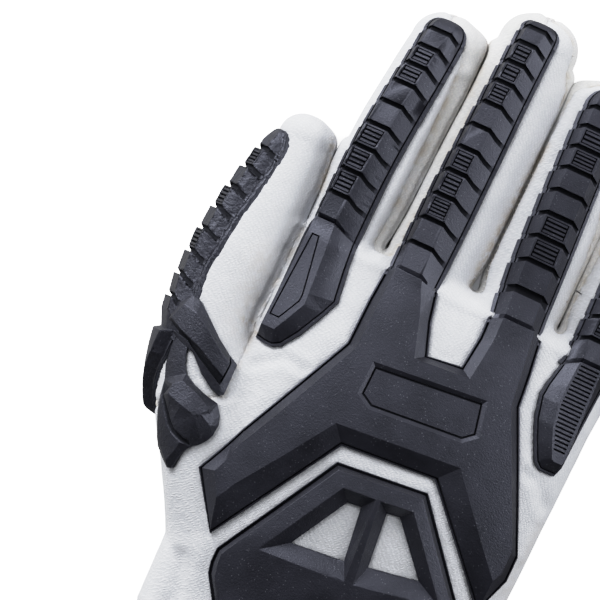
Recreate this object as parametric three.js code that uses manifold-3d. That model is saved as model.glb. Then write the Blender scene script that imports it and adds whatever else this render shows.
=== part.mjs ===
// Impact-protective work glove for a right hand, lying palm down.
// Millimetres. +Y runs to the fingertips, +X to the little finger, +Z up out of the back of the hand.
// A hollow, sewn shell of fabric panels carries five moulded rubber guards.
import * as THREE from "three";
import Module from "manifold-3d";
import { mergeVertices } from "three/addons/utils/BufferGeometryUtils.js";

const wasm = await Module();
wasm.setup();

// Driving dimensions
const WALL = 2; // lined fabric
const GAP = 0.3; // between neighbouring pieces
const SINK = 2.5; // how far a guard's blank reaches under the fabric before it is cut to it
const FLANGE = 1.1; // thin edge of a moulded guard
const LEDGE = 1; // width of that edge
const PLATE_HEIGHT = 4.2;
const PANEL_LOW = 2; // lower end of the hand guard's sloping panel
const GROOVE_WIDTH = 1.8;
const GROOVE_DEPTH = 1.7;
const CHEVRON = 0.62; // how far a groove runs back for each millimetre out from the top facet
const LOGO_POCKET = 0.9; // depth of the bare name panel
const CUFF_END = -132;
const CUFF_SEAM = -84;
const SIDE_SEAM = 12; // height where back and palm meet on the outer sides
const FOURCHETTE_BOTTOM = 6.5;
const ROUNDNESS = 2.3; // exponent of the fingers' sections
const HAND_ROUNDNESS = 2.5;
const BLEND = 5; // fillet between a finger and the hand
const FACET = 15; // longest edge of a draped plate

function table(columns, rows) {
  const names = columns.split(" ");
  return rows.map((row) => Object.fromEntries(names.map((name, i) => [name, row[i]])));
}

// A smooth curve through one column of a table, read at a height y.
function column(rows, name, y) {
  const last = rows.length - 1;
  const at = THREE.MathUtils.clamp(y, rows[0].y, rows[last].y);
  let i = 0;
  while (i < last - 1 && rows[i + 1].y < at) i += 1;
  const slope = (k) => {
    const a = rows[Math.max(k - 1, 0)];
    const b = rows[Math.min(k + 1, last)];
    return (b[name] - a[name]) / (b.y - a.y);
  };
  const span = rows[i + 1].y - rows[i].y;
  const t = (at - rows[i].y) / span;
  const blend = (3 - 2 * t) * t * t;
  const rise = slope(i) * span * t * (1 - t) * (1 - t) - slope(i + 1) * span * t * t * (1 - t);
  return rows[i][name] * (1 - blend) + rows[i + 1][name] * blend + rise;
}

// Outer form: a row for each section across the hand, with its side limits, its middle height and half thickness
const HAND = {
  power: HAND_ROUNDNESS,
  cap: 7,
  rows: table("y left right middle half", [
    [-150, -36, 56, 17.5, 18.5],
    [-132, -36, 56, 17.5, 18.5],
    [-108, -34, 55.5, 17, 18],
    [-88, -32.5, 55, 16.5, 17.5],
    [-70, -34, 56, 16.5, 17.5],
    [-50, -38, 58.5, 17, 18.5],
    [-30, -41, 61, 17.5, 19],
    [-10, -42, 62, 17.5, 19],
    [10, -42, 63, 16.5, 18],
    [26, -41.5, 63.5, 15, 16.5],
    [39, -41, 63.5, 13.5, 14.5],
  ]),
};
const FINGERS = {
  index: {
    power: ROUNDNESS,
    cap: 10,
    rows: table("y left right middle half", [
      [22, -39.5, -18, 13, 12.5],
      [45, -41.1, -16.8, 11.8, 13],
      [60, -41, -15.4, 11.6, 12.8],
      [80, -40.4, -14.6, 11.4, 12.5],
      [100, -38.2, -13.6, 11, 12],
      [111, -36.6, -13.8, 10.6, 11.2],
    ]),
  },
  middle: {
    power: ROUNDNESS,
    cap: 11,
    rows: table("y left right middle half", [
      [22, -15, 11, 13.5, 13],
      [45, -15.4, 12.2, 12.3, 13.5],
      [60, -14.3, 13.2, 12, 13.3],
      [85, -13.6, 13.8, 11.8, 13],
      [107, -12.6, 13.8, 11.4, 12.4],
      [121.5, -12, 12.6, 11, 11.6],
    ]),
  },
  ring: {
    power: ROUNDNESS,
    cap: 10,
    rows: table("y left right middle half", [
      [22, 17, 40, 13.2, 12.8],
      [45, 15.6, 41.2, 12, 13.2],
      [60, 15, 40.9, 11.8, 12.9],
      [80, 15, 40.3, 11.5, 12.6],
      [100, 15, 39.4, 11.1, 12],
      [112, 15.4, 37.8, 10.7, 11.2],
    ]),
  },
  little: {
    power: ROUNDNESS,
    cap: 9,
    rows: table("y left right middle half", [
      [20, 43, 61, 13, 11.5],
      [45, 42.4, 64.2, 11.2, 12.1],
      [60, 42.3, 64.4, 10.9, 11.8],
      [75, 42.6, 64.4, 10.6, 11.4],
      [90, 43.6, 63.4, 10.2, 10.4],
    ]),
  },
};
const THUMB = {
  power: ROUNDNESS,
  cap: 8.5,
  rows: table("y left right middle half", [
    [-76, -31, -2, 14, 14.5],
    [-58, -40.5, -10, 14.2, 15],
    [-42, -50, -20, 14.5, 15.5],
    [-26, -58.5, -28, 14.5, 15.6],
    [-10, -64.5, -36, 14.2, 15.2],
    [8, -67.3, -41.8, 13.6, 14.6],
    [25, -67.4, -42.2, 13, 14],
    [42, -65.6, -42.2, 12, 13],
    [56, -63, -42.4, 11, 11.8],
    [66, -61, -44, 10.4, 10.6],
  ]),
};

// The limits of a form's section at a height y, grown by a wall or a gap.
function sectionAt(form, y, grow = 0) {
  const left = column(form.rows, "left", y);
  const right = column(form.rows, "right", y);
  return {
    x: (left + right) / 2,
    z: column(form.rows, "middle", y),
    wide: (right - left) / 2 + grow,
    high: column(form.rows, "half", y) + grow,
  };
}

// Roughly the distance from a point to a form's surface, less than 0 inside it.
function distanceTo(form, point) {
  const end = form.rows[form.rows.length - 1].y;
  const s = sectionAt(form, point.y);
  const across = Math.abs(point.x - s.x) / s.wide;
  const up = Math.abs(point.z - s.z) / s.high;
  const along = Math.max(0, point.y - end) / form.cap;
  const sum = across ** form.power + up ** form.power + along ** form.power;
  return (sum ** (1 / form.power) - 1) * Math.min(s.wide, s.high);
}

// The glove's outer surface, with a fillet where each finger and the thumb leave the hand.
function distanceToGlove(point) {
  const hand = distanceTo(HAND, point);
  let nearest = hand;
  for (const form of [...Object.values(FINGERS), THUMB]) {
    const finger = distanceTo(form, point);
    const mix = Math.max(BLEND - Math.abs(hand - finger), 0) / BLEND;
    nearest = Math.min(nearest, Math.min(hand, finger) - (mix * mix * BLEND) / 4);
  }
  return nearest;
}

// The outward direction of the glove's surface near a point.
function normalAt(point) {
  const step = 1;
  const slope = (axis) => {
    const a = point.clone();
    const b = point.clone();
    a[axis] += step;
    b[axis] -= step;
    return distanceToGlove(a) - distanceToGlove(b);
  };
  return new THREE.Vector3(slope("x"), slope("y"), slope("z")).normalize();
}

// Where a line that comes in towards the glove against the direction up meets its surface.
function surfacePoint(from, up) {
  const reach = 70;
  let outside = reach;
  while (outside > -reach && distanceToGlove(from.clone().addScaledVector(up, outside)) > 0) outside -= 1.5;
  let inside = outside;
  outside += 1.5;
  for (let i = 0; i < 18; i += 1) {
    const half = (inside + outside) / 2;
    if (distanceToGlove(from.clone().addScaledVector(up, half)) > 0) outside = half;
    else inside = half;
  }
  return from.clone().addScaledVector(up, outside);
}

// Meshes and solids
function solidOf(geometry) {
  geometry.deleteAttribute("normal");
  geometry.deleteAttribute("uv");
  const merged = mergeVertices(geometry, 1e-4);
  const vertProperties = Float32Array.from(merged.attributes.position.array);
  const triVerts = Uint32Array.from(merged.index.array);
  return new wasm.Manifold(new wasm.Mesh({ numProp: 3, vertProperties, triVerts }));
}

function geometryOf(solid) {
  const mesh = solid.getMesh();
  const positions = new Float32Array(mesh.numVert * 3);
  for (let i = 0; i < mesh.numVert; i += 1) {
    for (let k = 0; k < 3; k += 1) positions[3 * i + k] = mesh.vertProperties[mesh.numProp * i + k];
  }
  const geometry = new THREE.BufferGeometry();
  geometry.setAttribute("position", new THREE.BufferAttribute(positions, 3));
  geometry.setIndex(Array.from(mesh.triVerts));
  return geometry;
}

function geometryFrom(points, triangles) {
  const geometry = new THREE.BufferGeometry();
  geometry.setAttribute("position", new THREE.Float32BufferAttribute(points.flatMap((p) => [p.x, p.y, p.z]), 3));
  geometry.setIndex(triangles.flat());
  return geometry;
}

const union = (solids) => solids.reduce((a, b) => a.add(b));
const largest = (solid) => solid.decompose().sort((a, b) => b.volume() - a.volume())[0];

// Joins closed rings of equally many points into one skin, with a fan over each end ring.
function ringSolid(rings) {
  const sides = rings[0].length;
  const points = rings.flat();
  const triangles = [];
  for (let r = 0; r + 1 < rings.length; r += 1) {
    for (let k = 0; k < sides; k += 1) {
      const a = r * sides + k;
      const b = r * sides + ((k + 1) % sides);
      triangles.push([a, b, b + sides], [a, b + sides, a + sides]);
    }
  }
  for (const [ring, first, turn] of [[rings[0], 0, -1], [rings.at(-1), (rings.length - 1) * sides, 1]]) {
    const centre = ring.reduce((sum, p) => sum.add(p), new THREE.Vector3()).divideScalar(sides);
    points.push(centre);
    for (let k = 0; k < sides; k += 1) {
      const edge = [first + k, first + ((k + 1) % sides)];
      triangles.push(turn > 0 ? [...edge, points.length - 1] : [edge[1], edge[0], points.length - 1]);
    }
  }
  return solidOf(geometryFrom(points, triangles));
}

// A form as a solid: sections at the given heights and then a rounded end. Its underside is flat at the floor.
function formSolid(form, { sides, stations, capRings, grow, floor, start }) {
  const rows = form.rows;
  const end = rows.at(-1).y;
  const first = start ?? rows[0].y;
  const places = [];
  for (let i = 0; i <= stations; i += 1) places.push({ y: first + ((end - first) * i) / stations, scale: 1 });
  for (let i = 1; i <= capRings; i += 1) {
    const turn = (Math.PI / 2) * (i / (capRings + 0.35));
    places.push({
      y: end + (form.cap + grow) * Math.sin(turn) ** (2 / form.power),
      scale: Math.cos(turn) ** (2 / form.power),
    });
  }
  const rings = places.map(({ y, scale }) => {
    const s = sectionAt(form, Math.min(y, end), grow);
    return Array.from({ length: sides }, (_, k) => {
      const turn = (2 * Math.PI * (k + 0.5)) / sides;
      const bulge = (v) => Math.sign(v) * Math.abs(v) ** (2 / form.power);
      const x = s.x - s.wide * scale * bulge(Math.cos(turn));
      const z = s.z + s.high * scale * bulge(Math.sin(turn));
      return new THREE.Vector3(x, y, Math.max(z, floor));
    });
  });
  return ringSolid(rings);
}

// The whole glove as one body: grown by 0 for the outside and by less than 0 for the hollow.
function gloveSolid(grow, floor, detail) {
  const fingers = [...Object.values(FINGERS), THUMB].map((form) =>
    formSolid(form, { ...detail.finger, grow, floor }),
  );
  return union([formSolid(HAND, { ...detail.hand, grow, floor, start: detail.start }), ...fingers]);
}
const OUTER_DETAIL = {
  hand: { sides: 32, stations: 10, capRings: 2 },
  finger: { sides: 14, stations: 5, capRings: 3 },
  start: CUFF_END,
};
const INNER_DETAIL = {
  hand: { sides: 18, stations: 6, capRings: 1 },
  finger: { sides: 8, stations: 3, capRings: 2 },
  start: CUFF_END - 10,
};

// A block between two corners.
function block(low, high) {
  const size = high.map((v, i) => v - low[i]);
  const geometry = new THREE.BoxGeometry(...size);
  geometry.translate(...low.map((v, i) => v + size[i] / 2));
  return solidOf(geometry);
}

// An upright prism over an outline in plan.
function prism(outline, low, high) {
  const shape = new THREE.Shape(outline.map(([x, y]) => new THREE.Vector2(x, y)));
  const geometry = new THREE.ExtrudeGeometry(shape, { depth: high - low, bevelEnabled: false });
  geometry.translate(0, 0, low);
  return solidOf(geometry);
}

// Sewn shell: the hollow glove, cut into its panels along the seams with a small gap
const SPACE = 200;
const THUMB_SEAM = table("x y", [[-41.6, 95], [-41.6, -14], [-70, -32]]);
function thumbRegion(grow) {
  const seam = THUMB_SEAM.map(({ x, y }) => [x + grow, y - grow]);
  return prism([...seam, [-SPACE, seam.at(-1)[1]], [-SPACE, SPACE]].reverse(), -SPACE, SPACE);
}

// Each fourchette is the side strip between two fingers. A row gives its plan limits at its foot and at its tips,
// and the height of its upper seam.
const FOURCHETTES = table("name footLeft footRight tipLeft tipRight top", [
  ["fourchette_index_middle", -29, -1.6, -25.2, 0.3, 21],
  ["fourchette_middle_ring", -1, 28.6, 0.9, 26.6, 17],
  ["fourchette_ring_little", 29.2, 53.2, 27.2, 53.6, 18],
]);
const FOURCHETTE_FOOT = 33;
function fourchetteRegion(row, grow) {
  const outline = [
    [row.footLeft - grow, FOURCHETTE_FOOT],
    [row.footRight + grow, FOURCHETTE_FOOT],
    [row.tipRight + grow, SPACE],
    [row.tipLeft - grow, SPACE],
  ];
  return prism(outline, FOURCHETTE_BOTTOM - grow, row.top + grow);
}

const outside = gloveSolid(0, 0, OUTER_DETAIL);
const hollow = gloveSolid(-WALL, WALL, INNER_DETAIL);
const shell = outside.subtract(hollow);
const forearmSide = block([-SPACE, -SPACE, -SPACE], [SPACE, CUFF_SEAM, SPACE]);
const handSide = block([-SPACE, CUFF_SEAM + GAP, -SPACE], [SPACE, SPACE, SPACE]);
const handShell = shell.intersect(handSide).subtract(thumbRegion(GAP));
const sideStrips = union(FOURCHETTES.map((row) => fourchetteRegion(row, GAP)));
const panels = {
  back_panel: handShell
    .intersect(block([-SPACE, -SPACE, SIDE_SEAM + GAP / 2], [SPACE, SPACE, SPACE]))
    .subtract(sideStrips),
  palm_panel: handShell
    .intersect(block([-SPACE, -SPACE, -SPACE], [SPACE, SPACE, SIDE_SEAM - GAP / 2]))
    .subtract(sideStrips),
  thumb_panel: shell.intersect(handSide).intersect(thumbRegion(0)),
  cuff: shell.intersect(forearmSide),
};
for (const row of FOURCHETTES) panels[row.name] = handShell.intersect(fourchetteRegion(row, 0));

// Moulded guards: flat blanks, draped over the back of the glove and cut to it
const covered = gloveSolid(GAP, -GAP, OUTER_DETAIL);

// Splits every edge longer than a limit at its middle, so that a flat blank can bend.
function splitLongEdges(geometry, limit) {
  const flat = geometry.index ? geometry.toNonIndexed() : geometry;
  const p = flat.attributes.position;
  const corner = (i) => new THREE.Vector3().fromBufferAttribute(p, i);
  const waiting = [];
  for (let i = 0; i < p.count; i += 3) waiting.push([corner(i), corner(i + 1), corner(i + 2)]);
  const done = [];
  while (waiting.length) {
    const triangle = waiting.pop();
    const lengths = triangle.map((a, i) => a.distanceTo(triangle[(i + 1) % 3]));
    const longest = lengths.indexOf(Math.max(...lengths));
    if (lengths[longest] <= limit) {
      done.push(...triangle);
      continue;
    }
    const [a, b, c] = [0, 1, 2].map((i) => triangle[(longest + i) % 3]);
    const middle = a.clone().add(b).multiplyScalar(0.5);
    waiting.push([a, middle, c], [middle, b, c]);
  }
  return new THREE.BufferGeometry().setFromPoints(done);
}

// Lays a flat blank (x, y, height) over the glove. Its plane leans by tilt degrees about the line x, z.
function drape(solid, { tilt = 0, x = 0, z = 0 } = {}) {
  const lean = THREE.MathUtils.degToRad(tilt);
  const up = new THREE.Vector3(Math.sin(lean), 0, Math.cos(lean));
  const across = new THREE.Vector3(Math.cos(lean), 0, -Math.sin(lean));
  const geometry = splitLongEdges(geometryOf(solid), FACET);
  const p = geometry.attributes.position;
  for (let i = 0; i < p.count; i += 1) {
    const from = new THREE.Vector3(x, p.getY(i), z).addScaledVector(across, p.getX(i) - x);
    const foot = surfacePoint(from, up);
    const end = foot.clone().addScaledVector(normalAt(foot), p.getZ(i));
    p.setXYZ(i, end.x, end.y, end.z);
  }
  return solidOf(geometry);
}

// A flat blank with a thin ledge round it and sloping sides: a row for each corner, at its foot and at its top.
function bevelledPlate(corners, height) {
  const ring = (place, h) => corners.map((c) => place(c).setZ(h));
  const foot = (c) => new THREE.Vector3(c.x, c.y, 0);
  const top = (c) => new THREE.Vector3(c.topX, c.topY, 0);
  const inner = (c) => {
    const slope = top(c).sub(foot(c));
    return foot(c).addScaledVector(slope, Math.min(0.6, LEDGE / slope.length()));
  };
  const rings = [ring(foot, -SINK), ring(foot, FLANGE), ring(inner, FLANGE + 0.1), ring(top, height)];
  const count = corners.length;
  const triangles = [];
  for (let r = 0; r < 3; r += 1) {
    for (let k = 0; k < count; k += 1) {
      const a = r * count + k;
      const b = r * count + ((k + 1) % count);
      triangles.push([a, b, b + count], [a, b + count, a + count]);
    }
  }
  const fill = (place) => THREE.ShapeUtils.triangulateShape(corners.map((c) => {
    const p = place(c);
    return new THREE.Vector2(p.x, p.y);
  }), []);
  for (const [a, b, c] of fill(foot)) triangles.push([a, c, b]);
  for (const face of fill(top)) triangles.push(face.map((i) => i + 3 * count));
  return solidOf(geometryFrom(rings.flat(), triangles));
}

// A hole with sloping sides: a row for each corner, at its foot and at its wider mouth.
function funnel(corners, height) {
  const scale = (c, h) => new THREE.Vector3(
    c.x + ((c.topX - c.x) * (h - FLANGE)) / (height - FLANGE),
    c.y + ((c.topY - c.y) * (h - FLANGE)) / (height - FLANGE),
    h,
  );
  const low = corners.map((c) => new THREE.Vector3(c.x, c.y, -2 * SINK));
  return ringSolid([low, corners.map((c) => scale(c, FLANGE)), corners.map((c) => scale(c, height + 0.5))]);
}

const cutToGlove = (solid) => largest(solid.subtract(covered));

// A block of rubber that runs along a finger. Each row gives, at a height y, the plan x of its middle line,
// the reach of its foot and of its top facet to the left and right of that line, and its height.
function strip({ rows, grooves, tilt = 0, z = 0 }) {
  const lean = THREE.MathUtils.degToRad(tilt);
  const view = new THREE.Vector3(Math.sin(lean), 0, Math.cos(lean));
  const stations = rows.map((row) => ({ y: row.y, depth: 0 }));
  for (const y of grooves) {
    const half = GROOVE_WIDTH / 2;
    for (const [step, depth] of [[-half, 0], [0, 1], [half, 0]]) stations.push({ y: y + step, depth });
  }
  stations.sort((a, b) => a.y - b.y);
  const rings = stations.map(({ y, depth }) => {
    const s = Object.fromEntries(
      ["x", "left", "right", "topLeft", "topRight", "height"].map((name) => [name, column(rows, name, y)]),
    );
    const middle = surfacePoint(new THREE.Vector3(s.x, y, z), view);
    const up = normalAt(middle).setY(0).normalize();
    const across = new THREE.Vector3(up.z, 0, -up.x);
    const cut = depth * GROOVE_DEPTH;
    const skin = (t) => surfacePoint(middle.clone().addScaledVector(across, t), up).sub(middle).dot(up);
    const place = (t, h) => {
      const back = CHEVRON * Math.max(0, t - s.topRight, -s.topLeft - t);
      const inRange = THREE.MathUtils.clamp((y - rows[0].y) / 4, 0, 1);
      const end = middle.clone().addScaledVector(across, t).addScaledVector(up, h);
      return end.setY(y - back * inRange);
    };
    return [
      place(-s.left, skin(-s.left) - SINK),
      place(s.right, skin(s.right) - SINK),
      place(s.right, skin(s.right) + FLANGE),
      place(s.right - LEDGE, skin(s.right - LEDGE) + FLANGE + 0.1),
      place(s.topRight, s.height - cut),
      place(-s.topLeft, s.height - cut),
      place(LEDGE - s.left, skin(LEDGE - s.left) + FLANGE + 0.1),
      place(-s.left, skin(-s.left) + FLANGE),
    ];
  });
  return ringSolid(rings.reverse());
}

const STRIP_COLUMNS = "y x left right topLeft topRight height";
const INDEX_STRIP = {
  rows: table(STRIP_COLUMNS, [
    [5.5, -36, 4.6, 3, 3, 0.5, 1.4],
    [8, -35, 6.2, 5, 4, 2, 2.2],
    [13, -33.5, 7.8, 6, 5.2, 2.5, 3.6],
    [25, -33.3, 8, 11, 5.5, 4.2, 3.8],
    [34, -33.3, 8, 10, 5.4, 2.4, 3.8],
    [44, -33.3, 8.2, 8.8, 5, 1.2, 3.8],
    [62, -32.9, 8.3, 8.6, 4.6, 3.2, 3.8],
    [82, -31.8, 8, 8.4, 4.4, 3.4, 3.6],
    [104, -29.2, 7.4, 7.8, 3.9, 3.3, 3.2],
    [113, -28, 6.8, 7.4, 3.5, 3.1, 2.8],
    [117.6, -27.3, 4.6, 5.4, 2.4, 2.4, 1.2],
  ]),
  grooves: [47.5, 55.5, 63.5, 71.5, 79.4, 87.1, 94.2, 100.7, 107.2, 113],
};
const MIDDLE_STRIP = {
  rows: table(STRIP_COLUMNS, [
    [34, -5.4, 8, 8, 4.6, 2, 1.6],
    [42, -5.3, 8.9, 8.8, 4.9, 2.7, 3.8],
    [60, -4.8, 8.6, 8.6, 5, 2.9, 3.8],
    [85, -3.8, 8.2, 8, 4.6, 2.9, 3.6],
    [107, -2.9, 7.2, 7.4, 4.2, 2.8, 3.2],
    [122, -2, 6.4, 6.8, 3.6, 2.7, 2.8],
    [128, -1.2, 4.6, 5, 2.4, 2.2, 1.2],
  ]),
  grooves: [42.5, 52, 60.3, 68.4, 76.4, 84.2, 91.9, 99.6, 107, 113.8, 120.4],
};
const RING_STRIP = {
  rows: table(STRIP_COLUMNS, [
    [34, 29, 8.6, 8.6, 4.4, 4.4, 1.6],
    [42, 28.9, 9.2, 9.2, 4.6, 4.6, 3.8],
    [62, 27.9, 8.8, 8.8, 4.5, 4.5, 3.8],
    [84, 27.2, 8.3, 8.3, 4.2, 4.2, 3.6],
    [104, 26.7, 7.6, 7.6, 3.8, 3.8, 3.2],
    [113, 26.5, 6.9, 6.9, 3.4, 3.4, 2.8],
    [118.4, 26.4, 4.8, 4.8, 2.4, 2.4, 1.2],
  ]),
  grooves: [42.5, 52.4, 61.8, 69.6, 77.2, 84.8, 92.2, 99.2, 106, 112.4],
};
const LITTLE_STRIP = {
  rows: table(STRIP_COLUMNS, [
    [5.5, 55, 3, 4, 0.5, 2.4, 1.4],
    [8, 54.6, 5, 5, 2, 3.2, 2.2],
    [14, 54, 6.6, 6.4, 2.4, 4, 3.4],
    [27, 53.2, 9.6, 7.4, 3.8, 4.4, 3.6],
    [38, 53.6, 8.4, 7.6, 2.6, 4.2, 3.6],
    [50, 54.2, 7.8, 7.6, 3.6, 3.8, 3.5],
    [66, 54.6, 7.4, 7.2, 3.4, 3.6, 3.4],
    [84, 54.4, 6.6, 6.4, 3, 3.2, 2.8],
    [93, 54.1, 4.4, 4.4, 2, 2.2, 1.2],
  ]),
  grooves: [41, 48.4, 55.6, 62.6, 69.4, 76, 82.4],
};

// The thumb's strip lies on the thumb's outer side, so it is seen and laid along a leaning line.
const THUMB_TILT = -62;
const THUMB_STRIP = {
  tilt: THUMB_TILT,
  z: 13,
  rows: table(STRIP_COLUMNS, [
    [-8, -51, 6.6, 7.4, 3.6, 3, 1.6],
    [2, -53, 8, 8.6, 4.2, 3.4, 3.4],
    [16, -54.6, 8.2, 8.4, 4.2, 3.4, 3.6],
    [32, -54.6, 8, 8, 4, 3.3, 3.6],
    [48, -53.2, 7.4, 7.4, 3.6, 3.1, 3.3],
    [58, -52, 6.6, 6.6, 3.1, 2.9, 2.8],
    [65, -51.6, 4, 4.2, 2, 2, 1.2],
  ]),
  grooves: [6.8, 14, 21.6, 29.4, 37, 44.6, 52, 58.6],
};

const PLATE_COLUMNS = "x y topX topY";
const KNUCKLE_PLATE = table(PLATE_COLUMNS, [
  [-39.5, -36.5, -35.3, -36],
  [-28, -53, -30, -42.5],
  [-3.6, -12.4, -8, -7.2],
  [25.6, -9.9, 30.6, -3.8],
  [54, -40.5, 52.6, -30],
  [58.4, -29, 54, -27],
  [58.4, -21, 54, -19.6],
  [40, 20, 36.6, 19],
  [39.2, 30, 35.4, 30],
  [38.2, 41, 34, 41.4],
  [20, 41, 24.4, 41.4],
  [20.2, 34, 24.3, 34],
  [19, 23.8, 22.4, 20.8],
  [8.6, 22.4, 5, 19.4],
  [5.4, 32, 1.4, 31],
  [4, 41, -2.4, 41.4],
  [-13.6, 41, -10.4, 41.4],
  [-14.6, 30, -11.2, 30],
  [-15, 16, -11.6, 15.2],
]);
const NAME_PANEL = [[-5.5, 13.6], [-5.8, 3.2], [-1, 0.4], [28, 3], [32, 6.4], [29.8, 17.2]];

const HAND_PLATE = table(PLATE_COLUMNS, [
  [-24.3, -56, -21.8, -56.6],
  [-24.3, -60.5, -21.6, -60],
  [-23.5, -64, -20.8, -63.4],
  [-19, -71, -16.2, -70],
  [-13, -79, -11.2, -76.2],
  [46.5, -72.4, 44.4, -69.8],
  [50.5, -63, 48, -62],
  [53, -55, 50.4, -54.6],
  [52.5, -47, 49.6, -47.4],
  [25.6, -14.4, 24.5, -16.6],
  [-2.8, -17.3, -1.4, -19.2],
]);
const LEFT_WINDOW = table(PLATE_COLUMNS, [
  [-5, -45, -13, -50.6],
  [11.5, -43.3, 14, -48.6],
  [9.3, -26.5, 12.2, -22.4],
  [5, -27, 2, -23.3],
]);
const RIGHT_WINDOW = table(PLATE_COLUMNS, [
  [18.8, -42, 16.6, -48.3],
  [34.2, -39.4, 42, -43.4],
  [21, -24.4, 23.6, -21.1],
  [17, -25, 13.4, -22.3],
]);

function knucklePlate() {
  const pocket = prism(NAME_PANEL, PLATE_HEIGHT - LOGO_POCKET, PLATE_HEIGHT + 1);
  return drape(bevelledPlate(KNUCKLE_PLATE, PLATE_HEIGHT).subtract(pocket));
}

// The lower panel of the hand guard falls from its full height at the windows to its low end at the wrist.
function handPlate() {
  const high = { y: -50, h: PLATE_HEIGHT + 0.2 };
  const low = { y: -80, h: PANEL_LOW };
  const above = 6;
  const wedge = ringSolid([high, low].map(({ y, h }) => [
    new THREE.Vector3(-60, y, h),
    new THREE.Vector3(90, y, h),
    new THREE.Vector3(90, y, h + above),
    new THREE.Vector3(-60, y, h + above),
  ]));
  const windows = [LEFT_WINDOW, RIGHT_WINDOW].map((corners) => funnel(corners, PLATE_HEIGHT));
  return drape(bevelledPlate(HAND_PLATE, PLATE_HEIGHT).subtract(wedge).subtract(union(windows)));
}

// Three branches spread from the foot of the thumb's strip over the ball of the thumb.
const WEB_BRANCH = table(PLATE_COLUMNS, [
  [-60, 9.4, -61, 5.4],
  [-64, 4, -62.4, 2.6],
  [-61, -5, -59.6, -2],
  [-56.6, -6.8, -55, -4.2],
  [-52, -10.4, -50.6, -7.6],
  [-45.2, -14.9, -45, -12.6],
  [-42.2, -14.6, -44, -12.2],
  [-42.2, -4.2, -44.4, -5.4],
  [-48, -0.4, -48.6, -2.2],
  [-55, 4.6, -56, 2],
]);
const BALL_BRANCH = table(PLATE_COLUMNS, [
  [-61.5, -4.6, -59.8, -8],
  [-60.4, -16.4, -57.6, -17],
  [-58.4, -24.5, -55.8, -23.6],
  [-55.4, -34.2, -53.2, -32.4],
  [-53.8, -36.6, -51.6, -34.6],
  [-47.4, -41, -48.2, -37.6],
  [-46, -39.6, -47.6, -36.4],
  [-45.4, -35, -46.8, -33],
  [-43.8, -32, -45.4, -29.6],
  [-41, -30, -42.6, -27.8],
  [-39.4, -26, -41.6, -25],
  [-39.2, -22, -41.4, -21.8],
  [-41, -18.4, -42.8, -19.6],
  [-42.2, -17, -44.6, -18.4],
  [-51, -14.9, -52, -16.6],
  [-56.6, -12, -57, -13.2],
  [-57.6, -7, -58, -8.4],
]);
// On the thumb's outer side, so its x runs down that side.
const SIDE_BRANCH = table(PLATE_COLUMNS, [
  [-64, -2, -62, -4],
  [-58, -19, -56.4, -18.4],
  [-52.4, -28.4, -51.4, -25.6],
  [-46, -24.4, -47, -22.6],
  [-43, -15, -45, -14.6],
  [-45, -2, -47, -4],
]);

function thumbGuard() {
  const branches = [
    drape(bevelledPlate(WEB_BRANCH, 3.4)),
    drape(bevelledPlate(BALL_BRANCH, 3.6), { tilt: -12, x: -50, z: 28 }),
    drape(bevelledPlate(SIDE_BRANCH, 3), { tilt: THUMB_TILT, x: -51, z: 13 }),
  ];
  return union([strip(THUMB_STRIP), ...branches]);
}

const guards = {
  index_guard: strip(INDEX_STRIP),
  knuckle_guard: union([knucklePlate(), strip(MIDDLE_STRIP), strip(RING_STRIP)]),
  little_guard: strip(LITTLE_STRIP),
  hand_guard: handPlate(),
  thumb_guard: thumbGuard(),
};

// Scene graph
const FABRIC = { color: 0xe3e3e8, roughness: 0.95, metalness: 0 };
const SIDE_FABRIC = { color: 0xd6d4cf, roughness: 0.95, metalness: 0 };
const RUBBER = { color: 0x2c2c35, roughness: 0.62, metalness: 0 };

const glove = new THREE.Group();
function addPiece(name, solid, look) {
  const mesh = new THREE.Mesh(geometryOf(solid), new THREE.MeshStandardMaterial(look));
  mesh.name = name;
  glove.add(mesh);
}
for (const [name, solid] of Object.entries(panels)) {
  addPiece(name, largest(solid), name.startsWith("fourchette") ? SIDE_FABRIC : FABRIC);
}
for (const [name, solid] of Object.entries(guards)) addPiece(name, cutToGlove(solid), RUBBER);

// The frame's origin is on the floor, under the middle of the glove.
const middle = new THREE.Box3().setFromObject(glove).getCenter(new THREE.Vector3());
glove.position.set(-middle.x, -middle.y, 0);

export default glove;
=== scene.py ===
"""A right-hand work glove with moulded rubber guards, lying palm down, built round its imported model."""

import math

import bmesh
import bpy
import numpy as np
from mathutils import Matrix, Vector, noise
from mathutils.bvhtree import BVHTree
from mathutils.geometry import delaunay_2d_cdt
from mathutils.kdtree import KDTree


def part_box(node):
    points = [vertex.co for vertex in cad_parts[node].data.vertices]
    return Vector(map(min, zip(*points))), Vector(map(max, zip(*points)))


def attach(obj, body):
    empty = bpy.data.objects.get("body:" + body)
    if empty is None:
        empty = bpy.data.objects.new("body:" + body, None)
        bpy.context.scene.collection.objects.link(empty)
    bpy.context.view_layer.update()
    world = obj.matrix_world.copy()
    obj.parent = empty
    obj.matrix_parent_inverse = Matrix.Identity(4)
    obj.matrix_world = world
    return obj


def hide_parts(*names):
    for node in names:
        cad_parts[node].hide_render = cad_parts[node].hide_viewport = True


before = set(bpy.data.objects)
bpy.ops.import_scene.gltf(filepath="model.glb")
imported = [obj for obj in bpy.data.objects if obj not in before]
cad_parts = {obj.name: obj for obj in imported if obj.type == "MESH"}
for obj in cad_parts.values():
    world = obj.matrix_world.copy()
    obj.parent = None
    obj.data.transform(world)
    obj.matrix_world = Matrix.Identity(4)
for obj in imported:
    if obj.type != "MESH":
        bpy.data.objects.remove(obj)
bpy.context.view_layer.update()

# All tables are in millimetres on the glove's pattern: x to the little finger, y to the fingertips, z up.
MM = 0.001
CUFF_END = -132.0
CUFF_SEAM = -84.0
CUFF_MIDDLE = 10.0
SIDE_SEAM = 12.0
FOURCHETTE_BOTTOM = 6.5
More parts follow.
